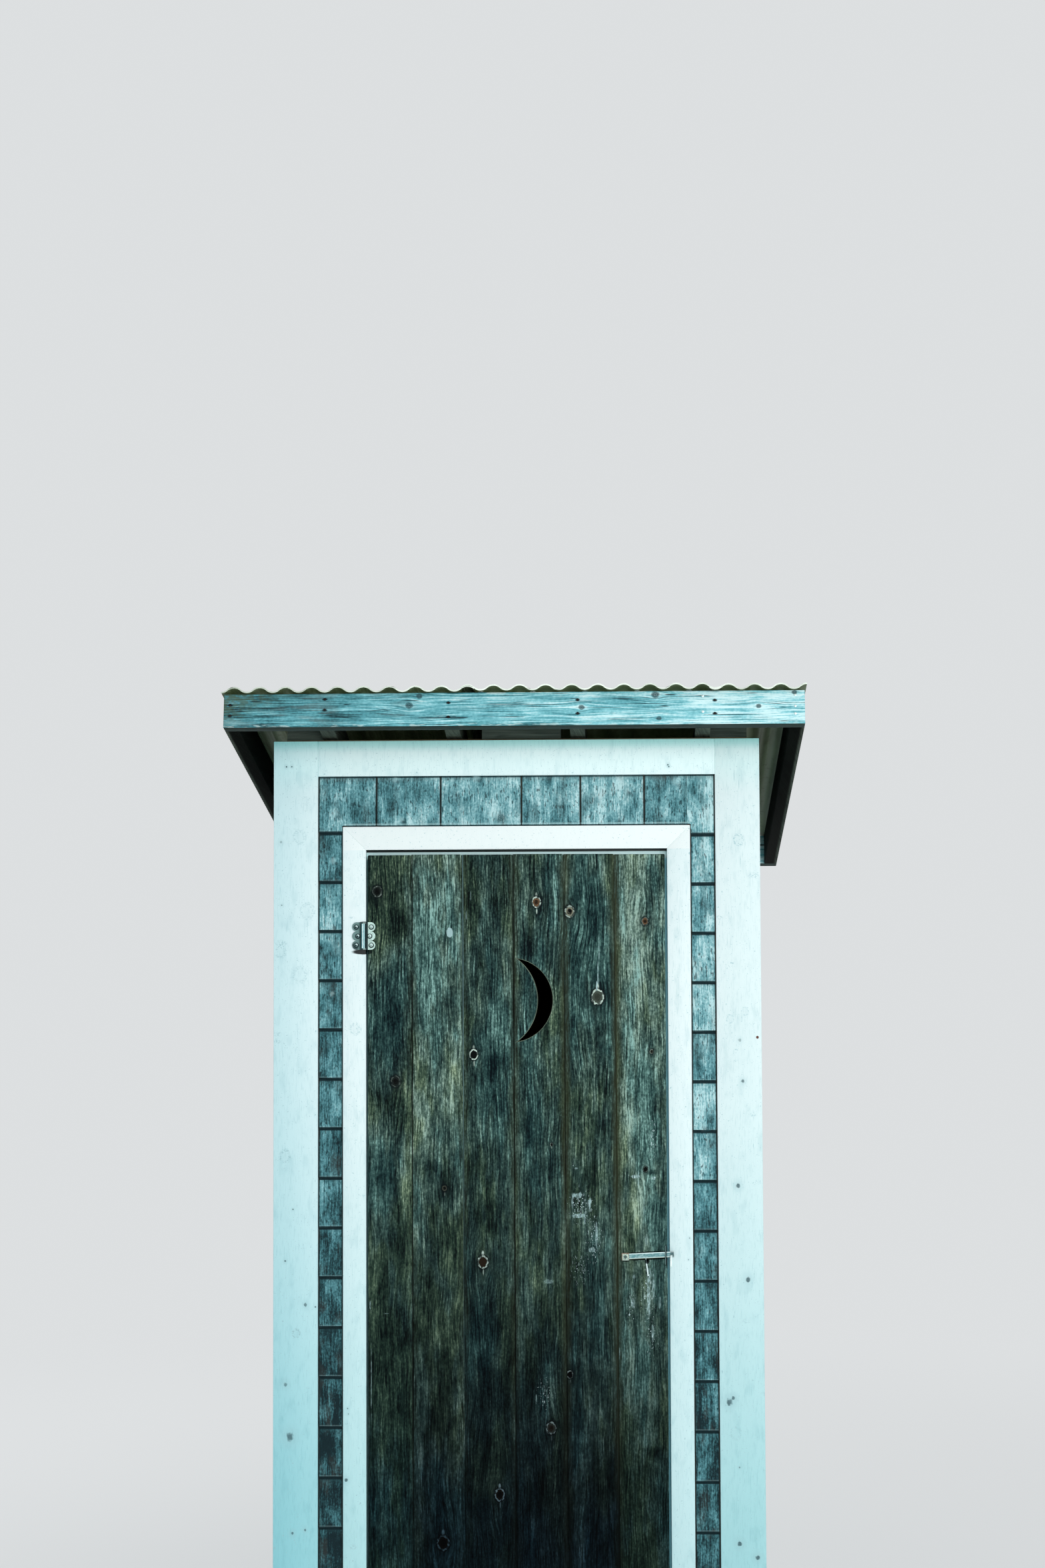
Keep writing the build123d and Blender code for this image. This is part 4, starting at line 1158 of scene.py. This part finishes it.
class Shingler:
    """Copies the stock shingle to its places on one wall and joins them."""

    def __init__(self, stock, wall_place, turn, gap=side_gap):
        self.stock = stock
        self.place = Matrix.Translation(wall_place) @ Matrix.Rotation(turn, 4, "Z")
        self.gap = gap
        self.parts = []

    def lay(self, left, right, bottom, top, tone=None, start=0.0, course=exposure, tight=()):
        """A shingle from left to right, seen from outside, whose course starts start lower.

        At the places in tight it meets its neighbour with no gap to be seen."""
        obj = copied(self.stock)
        low_gap, high_gap = [tight_gap if side in tight else self.gap for side in (left, right)]
        width = right - left - low_gap - high_gap
        middle = (left + low_gap + right - high_gap) / 2
        height = top - bottom
        tilt = chance.uniform(-butt_tilt, butt_tilt)
        tone = chance.uniform(0.15, 0.85) if tone is None else tone
        stock_height = exposure + hidden_length
        slope = course_taper / exposure
        for vertex in obj.data.vertices:
            x, y, z = vertex.co
            share = z / stock_height
            climb = share * height
            depth = y / (slope * z - butt_thickness)
            face = slope * (climb + start) - butt_thickness
            swing = tilt * (x / stock_width) * 2 * (1 - share)
            vertex.co = (middle + x / stock_width * width, depth * face, bottom + climb + swing)
        ends = [side for side in tight if side in (left, right)]
        self.keep(obj, bottom - start, tone, course, ends)

    def keep(self, obj, course_bottom, tone, course, tight):
        """Note what the finish reads of a shingle, then turn it to its wall."""
        places = [vertex.co for vertex in obj.data.vertices]
        seed = chance.random()
        add_float(obj, "tone", [tone for place in places])
        add_float(obj, "seed", [seed for place in places])
        xs = [place.x for place in places]
        add_float(obj, "across", xs)
        left, right = min(xs), max(xs)
        for side in tight:
            if side < (left + right) / 2:
                left = min(left, side - tight_reach)
            else:
                right = side + tight_reach
        add_float(obj, "middle", [(left + right) / 2 for place in places])
        add_float(obj, "half", [(right - left) / 2 for place in places])
        add_float(obj, "rise", [(place.z - course_bottom) / course for place in places])
        obj.data.transform(self.place)
        self.parts.append(obj)

    def courses(self, left, right, bottom, top_at, first_butt):
        """Courses of random widths over a wall whose top height may slope."""
        count = int((first_butt - bottom) / exposure)
        butts = [first_butt - k * exposure for k in range(count, -courses_over_first - 1, -1)]
        butts = [bottom] + [butt for butt in butts if butt > bottom + least_course]
        for low, high in zip(butts, butts[1:] + [butts[-1] + exposure]):
            x = left
            start = 0.0 if low > bottom else exposure - (high - low)
            while x < right - 0.001:
                width = chance.uniform(narrowest, widest)
                end = x + width if right - x - width > least_rest else right
                limit = min(top_at(x), top_at(end))
                top = min(high + hidden_length, limit)
                if top - low > least_height:
                    self.lay(x, end, low, top, start=start)
                x = end

    def joined(self, name):
        return join(name, self.parts)


def lay_corner_shingle(shingler, side, inner_x, bottom, top, casing_top, tone, course):
    """The shingle beside a head casing: its wide top passes over the casing's corner."""
    edges = sorted((side * (trim_inner - strip_gap), inner_x + side * tight_gap))
    obj = block("corner_shingle", (edges[0], -butt_thickness, bottom), (edges[1], 0, top))
    edit(obj, lambda place: place.y < -butt_thickness / 2 and place.z < bottom + 0.001, "EDGE")
    bpy.ops.mesh.bevel(offset=butt_round, segments=2, affect="EDGES")
    done()
    notch_x = casing_half + strip_gap
    cutter = block("notch", (-notch_x, -0.05, bottom - 0.05),
                   (notch_x, 0.05, casing_top + notch_gap))
    modify(obj, "BOOLEAN", operation="DIFFERENCE", solver="EXACT", object=cutter)
    bpy.data.objects.remove(cutter)
    slope = course_taper / exposure
    for vertex in obj.data.vertices:
        depth = -vertex.co.y / butt_thickness
        vertex.co.y += depth * slope * (vertex.co.z - bottom)
    shingler.keep(obj, bottom, tone, course, [inner_x])


def make_shingles(material):
    """All shingles, as one piece for each wall and strip."""
    stock = shingle_stock()
    first_butt = frieze_top - first_butt_drop
    frieze_bottom = frieze_low.z
    casing_top = head_high.z
    tall_course = (frieze_bottom - first_butt) / top_course_share
    wall = Vector((0, sheathing_y, 0))

    front = Shingler(stock, wall, 0, strip_gap)
    end_joints = {-1: top_joints[0], 1: top_joints[-1]}
    for side in (-1, 1):
        shift = -side * butt_shift
        butts = [siding_bottom] + [first_butt + shift - k * exposure
                                   for k in range(strip_courses, -1, -1)
                                   if first_butt - k * exposure > siding_bottom + least_course]
        edges = sorted((side * casing_half, side * trim_inner))
        for k, (low, high) in enumerate(zip(butts, butts[1:])):
            from_top = len(butts) - 2 - k
            front.lay(edges[0], edges[1], low, high + hidden_length, strip_tones[side][from_top],
                      exposure - (high - low))
        lay_corner_shingle(front, side, end_joints[side], butts[-1], frieze_bottom, casing_top,
                           corner_tones[side], tall_course)
    settle(front.joined("front_shingle_strips"), "building", "shingles", material,
           "shingles_front_sides")

    over = Shingler(stock, wall, 0)
    tight = (top_joints[0], top_joints[2], top_joints[-1])
    for left, right, tone in zip(top_joints, top_joints[1:], top_tones):
        over.lay(left, right, casing_top, frieze_bottom, tone, casing_top - first_butt,
                 tall_course, tight)
    door_width = casing_high.x - casing_low.x
    for k in range(sill_shingles):
        left = casing_low.x + k * door_width / sill_shingles
        over.lay(left, left + door_width / sill_shingles, siding_bottom,
                 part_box("door_sill")[0].z)
    settle(over.joined("door_bay_shingles"), "building", "shingles", material, "shingles_door_bay")

    back_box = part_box("shingles_back")
    back = Shingler(stock, Vector((0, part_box("sheathing_back")[1].y, 0)), math.pi)
    back.courses(-trim_inner, trim_inner, siding_bottom, lambda x: back_box[1].z, first_butt)
    settle(back.joined("back_shingles"), "building", "shingles", material, "shingles_back")

    for name, side in (("left", -1), ("right", 1)):
        node = "shingles_" + name
        low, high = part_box(node)
        sheathing_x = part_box("sheathing_" + name)[0 if side < 0 else 1].x
        wall = Shingler(stock, Vector((sheathing_x, 0, 0)), side * math.pi / 2)
        fall = math.tan(roof_slope)

        def top_at(along, side=side, low=low, high=high):
            return high.z - (along * side - low.y) * fall

        ends = sorted((side * low.y, side * high.y))
        wall.courses(ends[0], ends[1], siding_bottom, top_at, first_butt)
        settle(wall.joined(name + "_shingles"), "building", "shingles", material, node)
    bpy.data.objects.remove(stock)


def flare_at(obj, centre_x, centre_z, radius, way):
    """Widen or narrow a round tool where it meets the face of the board."""
    start = door_low.y + moon_flare
    edit(obj, lambda place: True)
    bpy.ops.mesh.bisect(plane_co=(0, start, 0), plane_no=(0, 1, 0))
    done()
    for vertex in obj.data.vertices:
        if vertex.co.y < start - 0.001:
            grown = (radius + way * (start - vertex.co.y)) / radius
            vertex.co.x = centre_x + (vertex.co.x - centre_x) * grown
            vertex.co.z = centre_z + (vertex.co.z - centre_z) * grown


def make_moon_cutter():
    """The crescent: a round of the outer arc less a round of the inner one."""
    half = moon_height / 2
    centre_z = door_high.z - moon_drop
    rounds = []
    for name, bulge, depth in (("outer", moon_outer_bulge, 0.08),
                               ("inner", moon_inner_bulge, 0.12)):
        radius = (half ** 2 + bulge ** 2) / (2 * bulge)
        centre_x = moon_tip_x + bulge - radius
        obj = rod("moon_" + name, radius, depth, (centre_x, door_low.y + 0.01, centre_z), 128)
        flare_at(obj, centre_x, centre_z, radius, 1 if name == "outer" else -1)
        rounds.append(obj)
    modify(rounds[0], "BOOLEAN", operation="DIFFERENCE", solver="EXACT", object=rounds[1])
    bpy.data.objects.remove(rounds[1])
    return rounds[0]


def door_joints():
    """The boards' edges from the hinge side to the latch side."""
    inner = [door_low.x + first_board + k * board_pitch for k in range(board_count - 1)]
    return [door_low.x] + inner + [door_high.x]


def board_looks():
    """For each board: lightness, the colour that darkens its foot, partly damp and partly painted
    shade, knots and patches.

    A knot is x, z, radius, rim, ring, heart, tip, tail. A patch is x, z, half width, half
    height and how much paler or darker it is. Scuffs and flecks of white paint end with their
    strength. Places and sizes are in millimetres."""
    hinge_side = dict(
        pale=0.42, foot=(0.255, 0.36, 0.430),
        knots=[door_knot(-360.7, 2046.5, 11, 0.28), door_knot(-313.5, 1556.3, 11, 0.1)],
        patches=[(-313, 1965, 34, 85, -0.26), (-335, 1660, 50, 80, -0.12),
                 (-368, 1300, 12, 260, 0.22), (-298, 1250, 14, 150, 0.18),
                 (-300, 2095, 10, 70, 0.15), (-345, 2110, 40, 40, 0.08),
                 (-330, 900, 30, 80, -0.14), (-355, 640, 20, 160, 0.16),
                 (-340, 1060, 22, 90, -0.14), (-362, 380, 14, 120, 0.12),
                 (-330, 840, 70, 200, -0.2), (-330, 1160, 40, 100, -0.08),
                 (-330, 1520, 40, 70, -0.08), (-330, 1910, 40, 60, 0.08)],
        scuffs=[(-377, 790, 1.6, 100, 0.35), (-380, 985, 2, 12, 0.6), (-338, 963, 10, 1.2, 0.3)],
        flecks=[(-380, 985, 6, 30, 0.8)])
    second = dict(
        pale=0.58, foot=(0.062, 0.092, 0.136),
        knots=[door_knot(-187.7, 1282.7, 7, 0, heart_tan, heart_black, 0, 0.3),
               door_knot(-193.2, 383.2, 14, 0.6, heart_brown, heart_black, 0.9, 0)],
        patches=[(-172, 2080, 22, 85, 0.2), (-215, 1950, 18, 110, 0.18),
                 (-262, 1780, 14, 120, -0.24), (-210, 1862, 12, 24, -0.34),
                 (-205, 1720, 24, 90, 0.1), (-165, 1500, 12, 130, 0.26),
                 (-190, 1300, 48, 60, -0.26), (-178, 1130, 12, 120, 0.22),
                 (-225, 1560, 12, 50, -0.18), (-230, 930, 26, 70, -0.1),
                 (-215, 690, 34, 80, -0.18), (-208, 960, 90, 500, -0.22),
                 (-208, 1950, 70, 260, 0.15), (-205, 770, 50, 110, -0.2),
                 (-208, 1230, 50, 140, -0.1)],
        scuffs=[(-172.9, 1940, 9, 13.5, 0.95)],
        flecks=[])
    third = dict(
        pale=0.42, foot=(0.105, 0.142, 0.205),
        knots=[door_knot(-111.5, 1624.9, 10, 1, heart_black, heart_black, 0.4, 0.8),
               door_knot(-89.4, 1094.3, 12, 0.75, heart_brown, heart_brown, 0.95, 0.5),
               door_knot(-48.1, 504.9, 11.5, 0.85, heart_brown, heart_black, 0.9, 0.5)],
        patches=[(-100, 2045, 18, 45, 0.12), (-56, 2010, 22, 95, -0.22), (-45, 1715, 30, 90, 0.2),
                 (-62, 1590, 30, 45, -0.28), (-75, 1510, 16, 45, 0.14), (-52, 1380, 20, 90, -0.24),
                 (-60, 1210, 30, 60, -0.18), (-22, 1480, 8, 200, 0.12), (-75, 950, 90, 420, -0.17),
                 (-70, 1520, 40, 60, -0.12), (-75, 1220, 50, 160, -0.1), (-80, 1720, 40, 60, 0.08),
                 (-85, 1270, 8, 60, 0.12), (-60, 700, 40, 150, -0.1)],
        scuffs=[(-130, 1985, 1.5, 14, 0.5), (-118, 2035, 1.2, 16, 0.35)],
        flecks=[])
    fourth = dict(
        pale=0.46, foot=(0.082, 0.108, 0.168),
        knots=[door_knot(51.9, 2016.8, 10.5, 0.95, ring_red, heart_brown, 0.4, 1),
               door_knot(88.5, 1393.4, 3.5, 0.9, heart_black, heart_black, 0, 0.9),
               door_knot(84, 673.1, 11.5, 0.8, heart_tan, heart_brown, 0, 0.2)],
        patches=[(100, 2035, 10, 80, 0.42), (45, 2085, 30, 45, -0.06), (30, 1910, 40, 60, -0.26),
                 (98, 1750, 9, 170, 0.24), (35, 1660, 30, 60, 0.12), (85, 1610, 12, 60, 0.12),
                 (20, 1400, 18, 60, -0.2), (92, 1340, 12, 70, -0.18), (55, 1250, 40, 80, -0.06),
                 (50, 520, 50, 100, -0.22), (55, 950, 80, 350, -0.1)],
        scuffs=[(78.8, 1044.7, 14, 6, 0.35), (46, 745, 1.5, 16, 0.4)],
        flecks=[(70, 760, 30, 60, 0.5)])
    fifth = dict(
        pale=0.46, foot=(0.065, 0.090, 0.145),
        knots=[door_knot(137.8, 1992.3, 11.5, 0.6, ring_tan),
               door_knot(208.7, 1772.2, 14.5, 1, knot_grey, knot_middle, 0.9, 0),
               door_knot(132.9, 808.9, 7.5, 0.9, heart_black, heart_black, 0, 0.2)],
        patches=[(160, 2060, 14, 85, -0.26), (185, 2030, 8, 70, -0.16), (222, 2095, 14, 60, 0.26),
                 (205, 1950, 10, 70, -0.18), (168, 1830, 18, 90, 0.12), (148, 1720, 16, 40, -0.2),
                 (180, 1740, 40, 70, 0.16), (172, 1460, 14, 60, 0.12), (197, 1350, 11, 90, -0.3),
                 (226, 1290, 7, 60, 0.28), (200, 980, 14, 90, -0.1), (185, 900, 50, 140, 0.14),
                 (235, 1960, 6, 160, 0.18), (190, 520, 50, 120, -0.2), (185, 1320, 50, 120, -0.08)],
        scuffs=[(213, 1900, 1.6, 34, 0.8), (210, 1835, 1.7, 36, 0.85), (207, 1800, 1.8, 14, 1),
                (156, 1264, 16, 8, 0.8), (185, 1242, 5, 22, 0.8), (160, 1212, 20, 6, 0.8),
                (142, 1245, 3, 20, 0.6), (203, 1160, 4, 40, 0.6), (190, 1125, 10, 7, 0.5),
                (150, 1333, 6, 4, 0.5), (172, 1205, 3, 16, 0.5)],
        flecks=[(165, 1235, 45, 65, 1), (195, 1160, 30, 80, 0.9), (160, 1080, 30, 60, 0.6),
                (150, 1345, 14, 20, 0.8)])
    latch_side = dict(
        pale=0.60, foot=(0.140, 0.185, 0.205),
        knots=[door_knot(332.4, 1966.1, 8, 0.2, ring_red, heart_brown),
               door_knot(347, 1631.4, 4.5, 0.35, heart_tan),
               door_knot(329.2, 1330.4, 5.5, 0.1, heart_black)],
        patches=[(300, 1900, 30, 200, 0.08), (318, 1850, 70, 420, 0.16),
                 (283, 1560, 22, 160, 0.22), (345, 2060, 20, 80, -0.1),
                 (362, 1840, 18, 120, -0.08), (345, 1322, 16, 10, -0.5), (300, 1190, 12, 80, 0.14),
                 (345, 614, 26, 22, -0.42), (290, 900, 12, 120, 0.06), (335, 1060, 22, 30, -0.14),
                 (310, 1460, 10, 80, 0.14), (315, 680, 60, 180, 0.14), (320, 960, 50, 100, 0.12)],
        scuffs=[(303, 1312, 15, 4.5, 0.8), (352, 1308, 6, 5.5, 0.75), (345, 1420, 4.5, 8, 0.6),
                (311, 1300, 1.8, 30, 0.5), (337, 1060, 6, 22, 0.45), (335, 1000, 5, 60, 0.75),
                (348, 1035, 2.5, 50, 0.7), (364, 990, 4, 20, 0.4), (298, 1056, 4, 7, 0.6),
                (295, 990, 6, 14, 0.4), (331, 1150, 5, 18, 0.35), (345, 915, 4, 22, 0.5),
                (325, 1235, 1.5, 25, 0.4), (260, 860, 1.5, 20, 0.4)],
        flecks=[(333, 1010, 26, 110, 1), (345, 900, 22, 70, 0.8), (290, 985, 16, 55, 0.9),
                (348, 1400, 16, 70, 0.9), (300, 1312, 20, 16, 1), (350, 1308, 12, 14, 1),
                (300, 1900, 20, 200, 0.35)])
    looks = [hinge_side, second, third, fourth, fifth, latch_side]
    for look in looks:
        for kind in ("patches", "scuffs", "flecks"):
            look[kind] = in_metres(look[kind], 4)
    return looks


def board_shape(number, left, right, top):
    """One board of the door, its long edges leaning a little, with eased corners."""
    middle_z = (door_low.z + door_high.z) / 2
    board = block(f"door_board_{number}", (left, door_low.y, door_low.z), (right, door_high.y, top))
    inner = [x for x in (left, right) if door_low.x < x < door_high.x]
    for edge_x in inner:
        for upper, lean in ((True, -board_lean), (False, board_lean)):
            edit(board, lambda place: abs(place.x - edge_x) < board_lean * 1.5
                 and (place.z > middle_z) == upper)
            bpy.ops.transform.translate(value=(lean, 0, 0))
            done()
    ease(board, groove_reach if len(inner) == 2 else groove_reach * 0.8)
    return board


def make_door(cut_finish):
    """Six boards, the crescent cut through the fourth and the latch's hole through the sixth."""
    edges = door_joints()
    moon_z = door_high.z - moon_drop
    tools = {4: make_moon_cutter(), 6: make_latch_hole()}
    shades = {1: hinge_shades(), board_count: latch_shades()}
    for k, look in enumerate(board_looks()):
        number = k + 1
        board = board_shape(number, edges[k], edges[number], door_high.z - board_tops[k])
        joints = [(edges[j], *groove_lines[j - 1]) for j in (k, number) if 0 < j < board_count]
        finish = door_board_finish(number, joints=joints, shades=shades.get(number, ()), **look)
        board.data.materials.append(finish)
        board.data.materials.append(cut_finish)
        if number in tools:
            modify(board, "BOOLEAN", operation="DIFFERENCE", solver="EXACT", object=tools[number])
            bpy.data.objects.remove(tools[number])
        for face in board.data.polygons:
            in_moon = number == 4 and abs(face.center.z - moon_z) < moon_height * 0.54
            in_moon = in_moon and -0.004 < face.center.x < moon_outer_bulge + 0.006
            face.material_index = 1 if in_moon and abs(face.normal.y) < 0.9 else 0
        smooth(board)
        settle(board, "door", "door_boards", None, *(["door_boards"] if number == 1 else []))


def hinge_shades():
    """Painted shadow on the first board under each hinge."""
    return [(door_low.x + 0.002, z - 0.0415, 0.0100, 0.0055) for z in hinge_heights]


def latch_shades():
    """Painted shadow on the board over and under the latch bar, round its plate, at its hole and at
    the door's edge by the keeper.
    """
    shades = [(pivot_x, pivot_z - 0.0112, 0.0100, 0.0024),
              (pivot_x + 0.0555, pivot_z - 0.0125, 0.0068, 0.0066),
              (door_high.x - 0.0010, pivot_z - 0.0120, 0.0036, 0.0190)]
    for along in (0.024, 0.044, 0.064, 0.084, 0.100):
        middle = pivot_z + along * math.tan(bar_rise)
        shades += [(pivot_x + along, middle - 0.0092, 0.0150, 0.0026),
                   (pivot_x + along, middle + 0.0084, 0.0150, 0.0013)]
    return shades


def make_latch_hole():
    """The round hole that lies under the latch bar."""
    place = (pivot_x + hole_along, door_low.y + 0.01, pivot_z - hole_drop)
    return rod("latch_hole", hole_radius, 0.08, place, 32)


def screw_stock(radius, height):
    """A pan-head screw with a recess, its head to -Y and its seat at y = 0."""
    obj = rod("screw", radius, height, (0, -height / 2, 0), 20)
    edit(obj, lambda place: place.y < -height * 0.9, "FACE")
    bpy.ops.mesh.inset(thickness=radius * 0.30)
    bpy.ops.transform.translate(value=(0, -height * 0.35, 0))
    bpy.ops.mesh.inset(thickness=radius * 0.28)
    bpy.ops.mesh.inset(thickness=radius * 0.10)
    bpy.ops.transform.translate(value=(0, height * 0.55, 0))
    done()
    smooth(obj, 50)
    return obj


def place_copies(name, stock, places):
    """Copies of one small part at several places, as one piece."""
    parts = []
    for place in places:
        obj = copied(stock)
        obj.data.transform(place if isinstance(place, Matrix) else Matrix.Translation(place))
        parts.append(obj)
    return join(name, parts)


def make_fastenings(hinge, zinc, plate_metal):
    """Screws of the hinges and latch, nails of the fascia and roof."""
    screw = screw_stock(*case_screw)
    for body, leaf, name in (("building", "hinge_frame_leaves", "hinge_screws_frame"),
                             ("door", "hinge_door_leaves", "hinge_screws_door")):
        face_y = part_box(leaf)[1].y - leaf_thickness
        places = [Vector((barrel_x + dx, face_y, z + dz)) for z in hinge_heights
                  for dx, dz in hinge_screws if (dx < 0) == (body == "building")]
        settle(place_copies(name, screw, places), body, "galvanised", hinge)
    middle = Vector((pivot_x, plate_low.y, pivot_z))
    settle(place_copies("latch_screw", screw, [middle]), "door", "rusty_steel", plate_metal)
    bpy.data.objects.remove(screw)

    nail = screw_stock(*fascia_nail)
    front = Matrix.Rotation(-roof_slope, 4, "X")
    for name, rows, slot, finish in (("fascia_nails", nail_pairs, "rusty_steel", nail_black()),
                                     ("fascia_screws", pale_pairs, "galvanised", zinc)):
        places = [Matrix.Translation(roof_place(x, -front_overhang, -down)) @ front
                  for x, *downs in rows for down in downs]
        settle(place_copies(name, nail, places), "building", slot, finish)
    bpy.data.objects.remove(nail)

    cap = screw_stock(*roof_cap)
    up = Matrix.Rotation(-roof_slope, 4, "X") @ Matrix.Rotation(-math.pi / 2, 4, "X")
    left_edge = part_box("roof_sheets_outer")[0].x
    places = []
    for down in (sheet_end + 0.026, 0.40, 0.90, roof_run - 0.019):
        for wave in range(first_nailed_wave if down < 0 else 2, wave_count, 2):
            spot = roof_place(left_edge + wave * wave_pitch, down, sheet_half_thickness)
            places.append(Matrix.Translation(spot) @ up)
    settle(place_copies("roof_nails", cap, places), "building", "galvanised", zinc)
    bpy.data.objects.remove(cap)


def nail_black():
    """Blackened nail heads, browner in places."""
    f = Finish("blackened_nail", roughness=0.7)
    cloud = f.noise(f.x * 600, f.y * 600, f.z * 600, 2)
    f.colour = f.mix(cloud.clear(0.35, 0.7), nail_dark, nail_brown)
    f.bump(cloud, 0.0004, 0.6)
    return f.finished()


def dress_trim(plain):
    """Painted boards with eased edges, in place of the sharp ones."""
    # The two colours after the marks are painted shade towards the foot, on the left and on the
    # right
    marked_boards = {
        "corner_boards_front": painted_finish("painted_corner_boards", corner_marks,
                                              (0.465, 0.78, 0.82), (0.535, 0.82, 0.85)),
        "door_casing_sides": painted_finish("painted_casings", casing_marks,
                                            (0.61, 0.87, 0.895), (0.725, 0.90, 0.92)),
        "frieze_front": painted_finish("painted_frieze", frieze_marks)}
    for node in ("corner_boards_front", "corner_boards_back", "corner_boards_side",
                 "frieze_front", "frieze_back", "friezes_side", "door_casing_sides",
                 "door_casing_head"):
        settle(eased_copy(node, trim_ease), "building", "painted_trim",
               marked_boards.get(node, plain), node)
    reveal = reveal_finish()
    for node in ("door_jambs", "door_head_jamb", "door_side_stops", "door_head_stop"):
        settle(eased_copy(node, trim_ease), "building", "painted_trim", reveal, node)


def dress_sheets(material):
    """The roof sheets, their cut ends at the front grown a little downwards."""
    along = Vector((0, math.cos(roof_slope), -math.sin(roof_slope)))
    out = Vector((0, math.sin(roof_slope), math.cos(roof_slope)))
    for node in ("roof_sheet_middle", "roof_sheets_outer"):
        obj = merged_copy(node)
        ends = min(roof_down(vertex.co) for vertex in obj.data.vertices)
        edit(obj, lambda place: True)
        bpy.ops.mesh.bisect(plane_co=roof_place(0, ends + lip_reach, 0), plane_no=along)
        done()
        low_side = [vertex for vertex in obj.data.vertices
                    if roof_down(vertex.co) < ends + 0.0002 and vertex.normal.dot(out) < 0]
        for vertex in low_side:
            vertex.co -= out * lip_growth
            vertex.co.y = max(vertex.co.y, cad_box[0][1])
        smooth(obj, 30)
        settle(obj, "building", "roof_sheet", material, node)


def dress_roof(fascia, rake):
    """Fascias and rake boards with worn edges."""
    for node, finish in (("fascia_front", fascia), ("fascia_rear", fascia), ("rake_boards", rake)):
        settle(eased_copy(node, timber_ease), "building", "fascia", finish, node)


def give(material, *names):
    """Put a material on nodes that stay as they are."""
    for name in names:
        nodes[name].data.materials.clear()
        nodes[name].data.materials.append(material)


def make_stage():
    """Pale floor, soft light and the photograph's camera."""
    deselect()
    bpy.ops.mesh.primitive_plane_add(size=60)
    floor = bpy.context.object
    floor.name = "floor"
    floor.data.materials.append(floor_finish())

    world = bpy.data.worlds.new("studio")
    bpy.context.scene.world = world
    world.use_nodes = True
    tree = world.node_tree
    light = tree.nodes["Background"]
    light.inputs["Color"].default_value = (*sky_white, 1.0)
    light.inputs["Strength"].default_value = world_strength
    seen = tree.nodes.new("ShaderNodeBackground")
    seen.inputs["Color"].default_value = (*backdrop, 1.0)
    path = tree.nodes.new("ShaderNodeLightPath")
    mix = tree.nodes.new("ShaderNodeMixShader")
    tree.links.new(path.outputs["Is Camera Ray"], mix.inputs[0])
    tree.links.new(light.outputs[0], mix.inputs[1])
    tree.links.new(seen.outputs[0], mix.inputs[2])
    tree.links.new(mix.outputs[0], tree.nodes["World Output"].inputs["Surface"])

    target = Vector((0, front_y, 1.2))
    for name, place, size, power in (("key", (3.2, -7.4, 2.9), 6.0, 315),
                                     ("fill", (-5.0, 5.5, 5.5), 5.0, 240)):
        lamp = bpy.data.lights.new(name, "AREA")
        lamp.size = size
        lamp.energy = power
        holder = bpy.data.objects.new(name, lamp)
        bpy.context.scene.collection.objects.link(holder)
        holder.location = place
        holder.rotation_euler = (target - Vector(place)).to_track_quat("-Z", "Y").to_euler()

    lens = bpy.data.cameras.new("camera")
    lens.sensor_width = film
    lens.lens = focal_pixels * film / frame_height
    camera = bpy.data.objects.new("camera", lens)
    bpy.context.scene.collection.objects.link(camera)
    forward = Vector((math.sin(camera_yaw) * math.cos(camera_pitch),
                      math.cos(camera_yaw) * math.cos(camera_pitch), math.sin(camera_pitch)))
    right = Vector((math.cos(camera_yaw), -math.sin(camera_yaw), 0))
    up = right.cross(forward)
    turned_right = right * math.cos(camera_roll) + up * math.sin(camera_roll)
    turned_up = up * math.cos(camera_roll) - right * math.sin(camera_roll)
    turn = Matrix((turned_right, turned_up, -forward)).transposed().to_4x4()
    camera.matrix_world = Matrix.Translation(camera_place) @ turn
    bpy.context.scene.camera = camera
    bpy.context.scene.view_settings.view_transform = "Standard"


make_stage()
white = painted_finish("painted_trim")
dress_trim(white)
make_shingles(shingle_finish())
make_door(timber_finish("fresh_cut_edge", cut_pale, cut_dark))
dress_roof(fascia_finish(), rake_finish())
dress_sheets(sheet_finish())
zinc_hinge = hinge_finish()
rusty_plate = plate_finish()
zinc = zinc_finish()
make_fastenings(zinc_hinge, zinc, rusty_plate)
# Rafters and other weathered framing, their colours darkened as painted shade under the eave
old_timber = timber_finish("weathered_rafters", timber_pale, timber_dark, "y")
bare_long = timber_finish("bare_plates", bare_pale, bare_dark, "x")
panel = timber_finish("sheathing_panel", panel_pale, panel_dark, "z")
give(timber_finish("bare_studs", bare_pale, bare_dark, "z"), "front_studs", "back_studs",
     "side_studs")
give(bare_long, "sole_plates_cross", "top_plates_cross", "door_header", "floor_rims")
give(old_timber, "rafters", "skids", "floor_joists", "sole_plates_side", "top_plates_side")
give(timber_finish("weathered_blocks", block_pale, block_dark, "x"), "eave_blocks")
give(panel, "sheathing_back", "sheathing_door_bay", "sheathing_front_sides", "sheathing_left",
     "sheathing_right")
give(timber_finish("floor_deck", bare_pale, bare_dark, "y"), "floor_deck")
give(white, "door_sill")
give(bare_long, "door_ledges", "door_braces")
give(zinc_hinge, "hinge_frame_leaves", "hinge_door_leaves")
give(latch_finish(), "latch_bar")
give(zinc, "latch_strike")
give(rusty_plate, "latch_plate", "latch_keeper")
